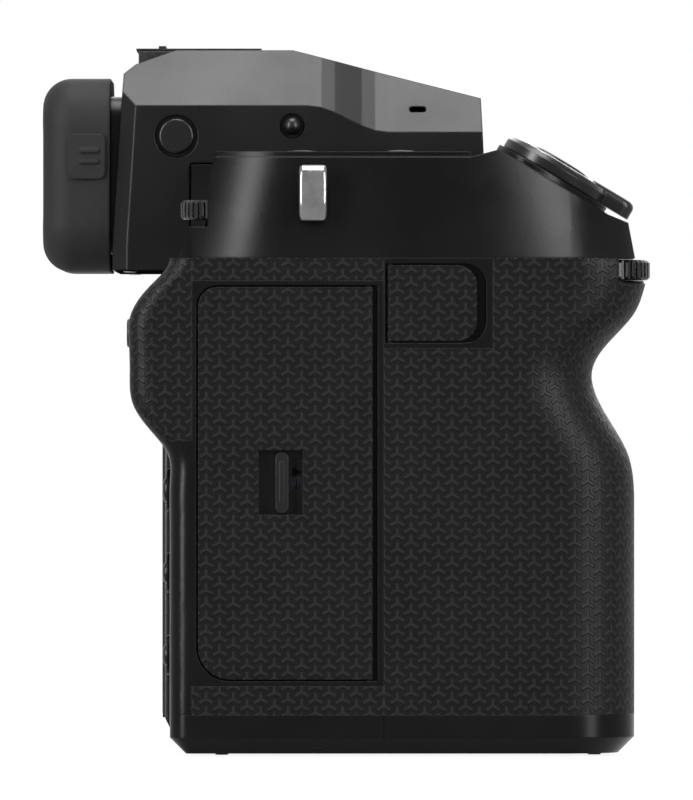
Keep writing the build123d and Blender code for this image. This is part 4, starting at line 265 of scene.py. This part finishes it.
def star_field(made, u, v, shift_u, shift_v):
    # Height of one rectangular set of stars: a ridge up and two down to the sides
    half = PATTERN_PITCH / 2
    du = made.calc("WRAP", made.calc("ADD", u, shift_u), PATTERN_PITCH, -PATTERN_PITCH)
    dv = made.calc("WRAP", made.calc("ADD", v, shift_v), half, -half)
    tallest = None
    for degrees in ARM_DEGREES:
        c, s = math.cos(math.radians(degrees)), math.sin(math.radians(degrees))
        along = made.calc("ADD", made.calc("MULTIPLY", du, c), made.calc("MULTIPLY", dv, s))
        across = made.calc("SUBTRACT", made.calc("MULTIPLY", dv, c), made.calc("MULTIPLY", du, s))
        past_tip = made.calc("SUBTRACT", along, ARM_LONG)
        past_end = made.calc("MAXIMUM", past_tip, made.calc("MULTIPLY", along, -1.0))
        off = made.calc("MAXIMUM", made.calc("ABSOLUTE", across), past_end)
        ridge = made.span(off, ARM_HALF_W, ARM_HALF_W + ARM_EDGE, 1.0, 0.0, "SMOOTHSTEP")
        tallest = ridge if tallest is None else made.calc("MAXIMUM", tallest, ridge)
    return tallest


def grip_rubber(name, outer_x=None, rear_y=SKIN_REAR_Y):
    # With outer_x given, only what lies further out than that has the pattern
    made = Finish(name, (0.007, 0.007, 0.0072), 0.48, specular=0.07)
    u, v = unrolled(made, rear_y)
    first = star_field(made, u, v, 0.0, 0.0)
    second = star_field(made, u, v, PATTERN_PITCH, PATTERN_PITCH / 2)
    stars = made.calc("MAXIMUM", first, second)
    if outer_x is not None:
        outside = made.calc("LESS_THAN", made.split(made.coords)[0], outer_x * MM)
        stars = made.calc("MULTIPLY", stars, outside)
    pores = made.noise(4200.0, 2.0)
    # Painted light: the raised stars get a lighter colour and the ground between them a darker one, a
    # painted highlight on the ridges and painted shade between them
    made.tint(stars, (0.0013, 0.0013, 0.0014), (0.0042, 0.0042, 0.0043))
    made.roughness(made.noise(90.0), 0.4, 0.48)
    height = made.calc("ADD", stars, made.calc("MULTIPLY", pores, PORE_SHARE))
    made.relief(height, PATTERN_DEPTH, RUBBER_ROUNDING)
    return made.material


cast_paint = painted("cast_paint", (0.0008, 0.0008, 0.0009), (0.0012, 0.0012, 0.0013),
                     0.3, 5200.0, 0.02, 0.4, 0.075,
                     bends=((14.0, 31.0, 1.0, 0.2), (-10.0, -31.0, -0.5, -0.25)))
smooth_paint = painted("smooth_paint", (0.0012, 0.0012, 0.0013), (0.0016, 0.0016, 0.0017),
                       0.26, 3800.0, 0.006, 0.3, 0.06)
finder_paint = painted("viewfinder_paint", (0.001, 0.001, 0.0011), (0.0014, 0.0014, 0.0015),
                       0.34, 5200.0, 0.02, 0.4, 0.13)
soft_rubber = painted("eyecup_rubber", (0.006, 0.006, 0.0062), (0.0075, 0.0075, 0.0077),
                      0.6, 3000.0, 0.03, 0.6, 0.07)
dull_black = painted("dull_black", (0.005, 0.005, 0.0053), (0.0065, 0.0065, 0.0068),
                     0.6, 2600.0, 0.01, 0.2)
anodised = painted("black_anodised", (0.0025, 0.0025, 0.0026), (0.004, 0.004, 0.0041),
                   0.26, 2600.0, 0.006, 0.25, 0.14)
button_black = painted("button_black", (0.0018, 0.0018, 0.0019), (0.0026, 0.0026, 0.0027),
                       0.3, 2600.0, 0.006, 0.25, 0.16)
shadow_black = painted("shadow_black", (0.0012, 0.0012, 0.0013), (0.0018, 0.0018, 0.0019),
                       0.8, 2600.0, 0.004, 0.1, 0.0)
card_blue = painted("card_label", (0.04, 0.05, 0.07), (0.05, 0.06, 0.08), 0.5, 900.0, 0.005, 0.1)
solder_mask = painted("solder_mask", (0.008, 0.055, 0.03), (0.01, 0.07, 0.038), 0.4, 1400.0, 0.01, 0.1)
steel = metal("bright_steel", (0.4, 0.4, 0.41), 0.26, 500.0, 0.001, 0.1)
dark_steel = metal("dark_steel", (0.3, 0.3, 0.31), 0.32)
light_metal = metal("cast_light_metal", (0.42, 0.42, 0.43), 0.45, 1200.0, 0.02)
polished_steel = metal("polished_steel", (0.2, 0.2, 0.204), 0.16, 200.0, 0.0002, 0.0)
shoe_steel = metal("shoe_steel", (0.035, 0.035, 0.036), 0.34)
ring_steel = metal("ring_steel", (0.07, 0.07, 0.072), 0.24)
white_mark = painted("white_mark", (0.6, 0.6, 0.6), (0.66, 0.66, 0.66), 0.5, 1800.0, 0.004, 0.05)
red_mark = painted("red_mark", (0.5, 0.03, 0.02), (0.56, 0.04, 0.03), 0.4, 1800.0, 0.004, 0.05)
gold = metal("gold_plate", (0.75, 0.56, 0.24), 0.25)
rubber_pattern = grip_rubber("patterned_rubber")
door_rubber = grip_rubber("door_rubber", outer_x=DOOR_PATTERN_X)
thumb_rubber = grip_rubber("thumb_rubber", rear_y=THUMB_REAR_Y)
screen_glass = coated_glass("screen_glass", (0.006, 0.006, 0.0065))
sensor_glass = coated_glass("coated_sensor_glass", (0.012, 0.035, 0.04), 0.08)
lens_glass = coated_glass("coated_lens", (0.02, 0.024, 0.04), 0.05)

# Nodes by finish; every other one is button_black
NODES_BY_FINISH = (
    (cast_paint, ("top_cover",)),
    (smooth_paint, ("front_cover", "rear_cover", "base_cover", "battery_door")),
    (finder_paint, ("viewfinder_shell",)),
    (rubber_pattern, ("rubber_skin", "terminal_flap", "lower_terminal_cover", "upper_terminal_cover")),
    (thumb_rubber, ("thumb_rest",)),
    (door_rubber, ("card_door",)),
    (soft_rubber, ("eyecup",)),
    (lens_glass, ("eyepiece_lens",)),
    (screen_glass, ("sub_display",)),
    (sensor_glass, ("sensor_platform",)),
    (shoe_steel, ("accessory_shoe",)),
    (steel, ("tripod_socket", "mount_ring", "strap_lugs", "lens_lock_pin")),
    (dark_steel, ("screws",)),
    (ring_steel, ("side_jacks",)),
    (light_metal, ("chassis", "sensor_carriage")),
    (solder_mask, ("main_board",)),
    (card_blue, ("card_slots",)),
    (anodised, ("shutter_button", "power_lever", "front_dial", "rear_dial", "mode_dial", "select_lever",
                "diopter_dial")),
    (dull_black, ("shoe_cover", "lens_contacts", "shutter_frame", "first_curtain_lead",
                  "first_curtain_trail", "second_curtain_lead", "second_curtain_trail", "battery",
                  "monitor_swing_frame", "monitor_arm", "stick_ring", "focus_stick")),
)
finishes = {name: finish for finish, names in NODES_BY_FINISH for name in names}
for name, node in nodes.items():
    node.data.materials.clear()
    node.data.materials.append(finishes.get(name, button_black))


# Drawing of the pieces, all in millimetres

ROUNDING_SEGMENTS = 2
SHARP_DEGREES = 40
MERGE_DISTANCE = 0.001


def settle(name, bm, finish, body, rounding=0.0):
    # Turns a bmesh drawn in millimetres into a finished piece that rides on a body
    bmesh.ops.remove_doubles(bm, verts=bm.verts, dist=MERGE_DISTANCE)
    bmesh.ops.recalc_face_normals(bm, faces=bm.faces)
    bmesh.ops.scale(bm, vec=(MM, MM, MM), verts=bm.verts)
    mesh = bpy.data.meshes.new(name)
    bm.to_mesh(mesh)
    bm.free()
    mesh.materials.append(finish)
    for face in mesh.polygons:
        face.use_smooth = True
    piece = bpy.data.objects.new(name, mesh)
    bpy.context.scene.collection.objects.link(piece)
    if rounding:
        edge = piece.modifiers.new("rounding", "BEVEL")
        edge.width = rounding * MM
        edge.segments = ROUNDING_SEGMENTS
        edge.limit_method = "ANGLE"
        edge.harden_normals = True
    else:
        mesh.set_sharp_from_angle(angle=math.radians(SHARP_DEGREES))
    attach(piece, body)
    return piece


def turned(points, centre, axis, steps=64, bm=None):
    # A closed profile of (radius, height) points spun about an axis through centre
    bm = bm or bmesh.new()
    fresh = [bm.verts.new((r, 0, h)) for r, h in points]
    edges = [bm.edges.new((a, b)) for a, b in zip(fresh, fresh[1:] + fresh[:1])]
    bmesh.ops.spin(bm, geom=fresh + edges, cent=(0, 0, 0), axis=UP, angle=2 * math.pi, steps=steps,
                   use_merge=True)
    whole, grown = set(fresh), True
    while grown:
        near = {e.other_vert(v) for v in whole for e in v.link_edges}
        grown = not near <= whole
        whole |= near
    turn = Vector(UP).rotation_difference(Vector(axis)).to_matrix().to_4x4()
    bmesh.ops.transform(bm, matrix=Matrix.Translation(centre) @ turn, verts=list(whole))
    return bm


def slab(bm, low, high, round_axis=None, radius=0.0, steps=5):
    # A box between two corners, with the edges along one axis rounded
    made = bmesh.ops.create_cube(bm, size=1.0)["verts"]
    bmesh.ops.scale(bm, vec=[h - l for l, h in zip(low, high)], verts=made)
    bmesh.ops.translate(bm, vec=[(h + l) / 2 for l, h in zip(low, high)], verts=made)
    if round_axis is not None:
        edges = [e for e in dict.fromkeys(e for v in made for e in v.link_edges)
                 if abs((e.verts[0].co - e.verts[1].co).normalized()[round_axis]) > 0.9]
        bmesh.ops.bevel(bm, geom=edges, offset=radius, segments=steps, profile=0.5, affect="EDGES",
                        material=-1)
    return bm


def round_path(x, z, width, height, radius, radius_z, steps=8):
    # Points round a rectangle with elliptical corners in the plane of x and z
    points = []
    for corner, (sx, sz) in enumerate(((1, 1), (-1, 1), (-1, -1), (1, -1))):
        cx, cz = x + sx * (width / 2 - radius), z + sz * (height / 2 - radius_z)
        for i in range(steps + 1):
            angle = math.radians(90 * corner + 90 * i / steps)
            points.append((cx + radius * math.cos(angle), cz + radius_z * math.sin(angle)))
    return points


# Eyecup: on each side a raised pull tab with two short bars
EYECUP_X = 23.0
TAB_PROUD, BAR_PROUD = 0.55, 0.88
for name, side in (("eyecup_tab_grip_side", -1), ("eyecup_tab_left_side", 1)):
    face = EYECUP_X * side
    tab_low, tab_high = sorted((face - side, face + TAB_PROUD * side))
    bar_low, bar_high = sorted((face, face + BAR_PROUD * side))
    tab = slab(bmesh.new(), (tab_low, 45.6, 93.6), (tab_high, 51.8, 101.2), 0, 1.1)
    for z in (96.2, 98.0):
        slab(tab, (bar_low, 46.6, z), (bar_high, 49.9, z + 0.75), 0, 0.3, 3)
    settle(name, tab, soft_rubber, "viewfinder", 0.18)

# An arrow inlaid in the latch's well points to where the latch slides; it clears the latch's stem
ARROW_X, ARROW_TIP_Y, ARROW_TAIL_Y = -83.15, 12.75, 14.3
ARROW_Z, ARROW_HALF_H, ARROW_THICK = 45.4, 0.8, 0.12
arrow = bmesh.new()
corners = ((ARROW_TIP_Y, ARROW_Z), (ARROW_TAIL_Y, ARROW_Z + ARROW_HALF_H),
           (ARROW_TAIL_Y, ARROW_Z - ARROW_HALF_H))
arrow_face = arrow.faces.new([arrow.verts.new((ARROW_X, y, z)) for y, z in corners])
raised = bmesh.ops.extrude_face_region(arrow, geom=[arrow_face])["geom"]
bmesh.ops.translate(arrow, vec=(-ARROW_THICK, 0, 0),
                    verts=[v for v in raised if isinstance(v, bmesh.types.BMVert)])
settle("latch_arrow", arrow, shadow_black, "card_door")

# Ridge down the middle of the card latch, a little proud of its face
ridge = slab(bmesh.new(), (-84.42, 15.55, 40.2), (-84.2, 16.45, 47.2), 0, 0.4)
settle("card_latch_ridge", ridge, button_black, "card_latch", 0.08)

# Mode dial: a stepped cap with index ticks round it and a lock button in its middle
MODE_DIAL = (47, 14, 0)
TICKS = 8
cap = turned(((3.3, 98.4), (9.4, 98.4), (9.4, 98.72), (9.0, 98.9), (3.6, 98.9), (3.3, 98.7)),
             MODE_DIAL, UP)
settle("mode_dial_cap", cap, anodised, "mode_dial")
lock = turned(((0, 98.3), (2.9, 98.3), (2.9, 99.2), (2.5, 99.55), (0, 99.7)), MODE_DIAL, UP, 48)
settle("mode_dial_lock", lock, button_black, "mode_dial")
ticks = bmesh.new()
for i in range(TICKS):
    known = set(ticks.verts)
    slab(ticks, (6.2, -0.22, 98.85), (8.3, 0.22, 98.95))
    fresh = [v for v in ticks.verts if v not in known]
    bmesh.ops.rotate(ticks, cent=(0, 0, 0), matrix=Matrix.Rotation(2 * math.pi * i / TICKS, 3, "Z"),
                     verts=fresh)
    bmesh.ops.translate(ticks, vec=MODE_DIAL, verts=fresh)
settle("mode_dial_ticks", ticks, white_mark, "mode_dial")

# Lens mount: index dot, gold contact pins and the sensor's cover glass
MOUNT_Z = 44.0
PINS, PIN_R, PIN_SPREAD = 12, 30.95, 35.2
dot = turned(((0, 0), (1.15, 0), (1.15, 0.1), (0.95, 0.2), (0, 0.24)), (0, -6.08, 79.8), FORWARD, 32)
settle("mount_index_dot", dot, red_mark, "camera")
pins = bmesh.new()
for i in range(PINS):
    angle = math.radians(270 + PIN_SPREAD * (i / (PINS - 1) - 0.5))
    place = (PIN_R * math.cos(angle), -2.9, MOUNT_Z + PIN_R * math.sin(angle))
    turned(((0, 0), (0.62, 0), (0.62, 0.3), (0.42, 0.52), (0, 0.6)), place, FORWARD, 16, pins)
settle("lens_contact_pins", pins, gold, "camera")
cover_glass = slab(bmesh.new(), (-21.9, 19.70, 27.55), (21.9, 19.79, 60.45), 1, 0.6)
settle("sensor_window", cover_glass, sensor_glass, "sensor_platform", 0.02)

# Glass of the monitor inside its border, and of the sub display on the deck
monitor_glass = slab(bmesh.new(), (-32.4, 35.2, 4.6), (40.4, 35.97, 53.8), 1, 0.8)
settle("monitor_glass", monitor_glass, screen_glass, "monitor_panel", 0.05)
display_glass = slab(bmesh.new(), (-79.4, -12.2, 96.9), (-45.6, 24.5, 97.12), 2, 1.2)
settle("sub_display_glass", display_glass, screen_glass, "camera", 0.05)

# Assist lamp window on the front, between the grip and the mount
lamp_window = turned(((0, -0.5), (2.6, -0.5), (2.6, 0.12), (2.2, 0.3), (0, 0.42)), (-45.5, -4.0, 71.0),
                     FORWARD, 40)
settle("assist_lamp_window", lamp_window, lens_glass, "camera")

# Line where the front and rear covers meet, carried on down the side of the base
seam = slab(bmesh.new(), (-84.53, -0.46, 2.2), (-84.4, -0.34, 6.2))
settle("base_seam", seam, shadow_black, "camera")

# Strap lugs: bent steel staples with rounded edges, their openings running front to back
LUG_Y, LUG_Z, LUG_W, LUG_TALL, LUG_BAR = 11.0, 90.2, 4.6, 9.3, 1.1
lugs = bmesh.new()
for near, far in ((-83.1, -87.0), (60.6, 65.4)):
    reach, mid = abs(far - near), (near + far) / 2
    outer = round_path(mid, LUG_Z, reach, LUG_TALL, 1.9, 3.9)
    inner = round_path(mid, LUG_Z, reach - 2 * LUG_BAR, LUG_TALL - 2 * LUG_BAR,
                       reach / 2 - LUG_BAR - 0.06, 2.8)
    loops = [[lugs.verts.new((x, y, z)) for x, z in path]
             for y in (LUG_Y - LUG_W / 2, LUG_Y + LUG_W / 2) for path in (outer, inner)]
    count = len(outer)
    for a, b in ((0, 1), (2, 3), (0, 2), (1, 3)):
        for i in range(count):
            j = (i + 1) % count
            lugs.faces.new((loops[a][i], loops[a][j], loops[b][j], loops[b][i]))
    rims = [lugs.edges.get((loops[k][i], loops[k][(i + 1) % count])) for k in (0, 2)
            for i in range(count)]
    bmesh.ops.bevel(lugs, geom=rims, offset=0.7, segments=4, profile=0.5, affect="EDGES", material=-1)
strap_lugs = settle("strap_lug_staples", lugs, polished_steel, "camera")
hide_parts("strap_lugs")

# Cover plate under the eyepiece end, held by four small screws
plate = slab(bmesh.new(), (-26.3, 32.0, 78.35), (26.3, 44.0, 78.5), 2, 1.0)
settle("finder_base_plate", plate, shadow_black, "viewfinder", 0.04)
heads = bmesh.new()
for x in (-22.0, 22.0):
    for y in (34.5, 41.5):
        turned(((0, 78.4), (1.1, 78.4), (1.1, 78.3), (0.9, 78.2), (0, 78.2)), (x, y, 0), UP, 20, heads)
settle("finder_base_screws", heads, dark_steel, "viewfinder")

# Thread in the tripod socket, as separate rings down its wall
THREAD_TURNS, THREAD_PITCH, THREAD_LOW_Z = 6, 0.8, 0.5
thread = bmesh.new()
for i in range(THREAD_TURNS):
    z = THREAD_LOW_Z + THREAD_PITCH * i
    turned(((3.1, z), (2.86, z + 0.25), (3.1, z + 0.5)), (0, 12, 0), UP, 40, thread)
settle("tripod_thread_turns", thread, steel, "camera")

# Thin rings round the caps of the rear buttons, and three small bars on the menu button
BUTTON_FACE_Y = 35.3
MENU_X, MENU_Z = -70.0, 42.4
for button, x, z, radius in (("menu_button", MENU_X, MENU_Z, 2.0), ("display_button", -70.0, 29.0, 1.75),
                             ("playback_button", -70.0, 15.7, 1.75),
                             ("focus_on_button", -45.0, 73.0, 2.6)):
    r = radius - 0.72
    ring = turned(((r - 0.35, -0.1), (r, -0.1), (r, 0.04), (r - 0.1, 0.08), (r - 0.35, 0.04)),
                  (x, BUTTON_FACE_Y, z), REARWARD, 40)
    settle(button + "_ring", ring, anodised, button)
bars = bmesh.new()
for step in (-0.6, 0.0, 0.6):
    middle = MENU_Z + step
    slab(bars, (MENU_X - 0.7, BUTTON_FACE_Y - 0.1, middle - 0.12),
         (MENU_X + 0.7, BUTTON_FACE_Y + 0.05, middle + 0.12))
settle("menu_button_bars", bars, white_mark, "menu_button")

# Shelf under the front dial, and low domes on the two buttons of the top deck
shelf = turned(((0, 75.85), (7.1, 75.85), (7.1, 76.1), (6.9, 76.3), (0, 76.3)), (-69, -35.6, 0), UP, 48)
settle("front_dial_shelf", shelf, smooth_paint, "camera")
for button, y in (("front_top_button", -3.2), ("rear_top_button", 13.0)):
    dome = turned(((0, 97.3), (2.75, 97.3), (2.7, 97.75), (2.35, 98.0), (0, 98.15)), (-39, y, 0), UP, 40)
    settle(button + "_dome", dome, button_black, button)

# Rim and pointer of the power lever round the shutter button, drawn flat and laid on the sloping deck
slope = Matrix.Translation((-69.0, -27.4, 92.393)) @ Matrix.Rotation(math.radians(30.8), 4, "X")
rim = turned(((6.55, 3.2), (7.3, 3.2), (7.3, 3.42), (6.95, 3.5), (6.55, 3.42)), (0, 0, 0), UP, 72)
bmesh.ops.transform(rim, matrix=slope, verts=rim.verts)
settle("power_lever_rim", rim, ring_steel, "power_lever")
pointer = slab(bmesh.new(), (-0.3, -12.4, 3.8), (0.3, -10.2, 3.9), 2, 0.12, 2)
bmesh.ops.transform(pointer, matrix=slope, verts=pointer.verts)
settle("power_lever_pointer", pointer, white_mark, "power_lever")


# Stage, in metres

# The camera sees the floor a little less than white near the middle, up to FLOOR_WHITE_FROM from
# it, and wholly white from FLOOR_WHITE_TO on
FLOOR_SIZE = 1.1
FLOOR_WHITE_FROM, FLOOR_WHITE_TO = 0.12, 0.4
WHITE_NEAR, WHITE_FAR = 0.9, 1.0
SEEN_RAYS = ("Is Camera Ray", "Is Glossy Ray", "Is Transmission Ray")

ground = Finish("floor", (0.8, 0.8, 0.8), 0.7)
white = ground.node("ShaderNodeEmission")
white.inputs["Color"].default_value = (1, 1, 1, 1)
floor_rays = ground.node("ShaderNodeLightPath")
direct, glossy, through = (floor_rays.outputs[kind] for kind in SEEN_RAYS)
seen = ground.calc("MAXIMUM", direct, ground.calc("MAXIMUM", glossy, through))
far = ground.node("ShaderNodeVectorMath", operation="LENGTH")
ground.feed(far.inputs[0], ground.coords)
whiteness = ground.span(far.outputs["Value"], FLOOR_WHITE_FROM, FLOOR_WHITE_TO, WHITE_NEAR, WHITE_FAR)
mix = ground.node("ShaderNodeMixShader")
ground.feed(mix.inputs["Fac"], ground.calc("MULTIPLY", seen, whiteness))
ground.feed(mix.inputs[1], ground.shader.outputs[0])
ground.feed(mix.inputs[2], white.outputs[0])
ground.feed(ground.tree.nodes["Material Output"].inputs["Surface"], mix.outputs[0])

floor_mesh = bpy.data.meshes.new("floor")
bm = bmesh.new()
bmesh.ops.create_grid(bm, x_segments=1, y_segments=1, size=FLOOR_SIZE,
                      matrix=Matrix.Translation((0, 0, cad_box[0].z)))
bm.to_mesh(floor_mesh)
bm.free()
floor = bpy.data.objects.new("floor", floor_mesh)
bpy.context.scene.collection.objects.link(floor)
floor_mesh.materials.append(ground.material)

# The world is white where it is seen, and lights the object with less
SKY_LIGHT, SKY_SEEN = 0.3, 1.0
world = bpy.data.worlds.new("studio")
bpy.context.scene.world = world
world.use_nodes = True
sky = world.node_tree
sky.nodes["Background"].inputs["Color"].default_value = (1, 1, 1, 1)
sky_rays = sky.nodes.new("ShaderNodeLightPath")
seen = sky_rays.outputs[SEEN_RAYS[0]]
for kind in SEEN_RAYS[1:]:
    either = sky.nodes.new("ShaderNodeMath")
    either.operation = "MAXIMUM"
    sky.links.new(seen, either.inputs[0])
    sky.links.new(sky_rays.outputs[kind], either.inputs[1])
    seen = either.outputs[0]
level = sky.nodes.new("ShaderNodeMapRange")
sky.links.new(seen, level.inputs["Value"])
level.inputs["To Min"].default_value = SKY_LIGHT
level.inputs["To Max"].default_value = SKY_SEEN
sky.links.new(level.outputs["Result"], sky.nodes["Background"].inputs["Strength"])


def softbox(name, place, aim, width, height, watts):
    lamp = bpy.data.lights.new(name, "AREA")
    lamp.shape = "RECTANGLE"
    lamp.size, lamp.size_y = width, height
    lamp.energy = watts
    holder = bpy.data.objects.new(name, lamp)
    holder.location = place
    holder.rotation_euler = (Vector(aim) - Vector(place)).to_track_quat("-Z", "Y").to_euler()
    bpy.context.scene.collection.objects.link(holder)


softbox("top_softbox", (-0.08, 0.0, 0.72), (0, 0, 0.1), 0.42, 0.5, 11.0)
softbox("front_softbox", (-0.44, -0.44, 0.26), (-0.07, -0.02, 0.07), 0.16, 0.55, 8.5)
softbox("rear_softbox", (-0.42, 0.46, 0.26), (-0.07, 0.02, 0.07), 0.15, 0.55, 10.0)
softbox("far_fill", (0.8, -0.2, 0.5), (0, 0, 0.06), 0.7, 0.7, 4.0)

# The camera stands two metres from the grip's side, level with the middle of the frame
IMAGE_H = 800
PIXELS_PER_METRE = 6220.0
SENSOR_H = 36.0
STAND_OFF = 2.0
SIDE_X, MIDDLE_Y, MIDDLE_Z = -0.087, 0.0056, 0.057
eye = bpy.data.cameras.new("camera")
eye.sensor_fit = "VERTICAL"
eye.sensor_height = SENSOR_H
eye.lens = SENSOR_H * STAND_OFF * PIXELS_PER_METRE / IMAGE_H
eye.clip_end = 20
camera = bpy.data.objects.new("camera", eye)
camera.location = (SIDE_X - STAND_OFF, MIDDLE_Y, MIDDLE_Z)
camera.rotation_euler = (math.radians(90), 0, math.radians(-90))
bpy.context.scene.collection.objects.link(camera)
bpy.context.scene.camera = camera
bpy.context.scene.view_settings.view_transform = "Standard"
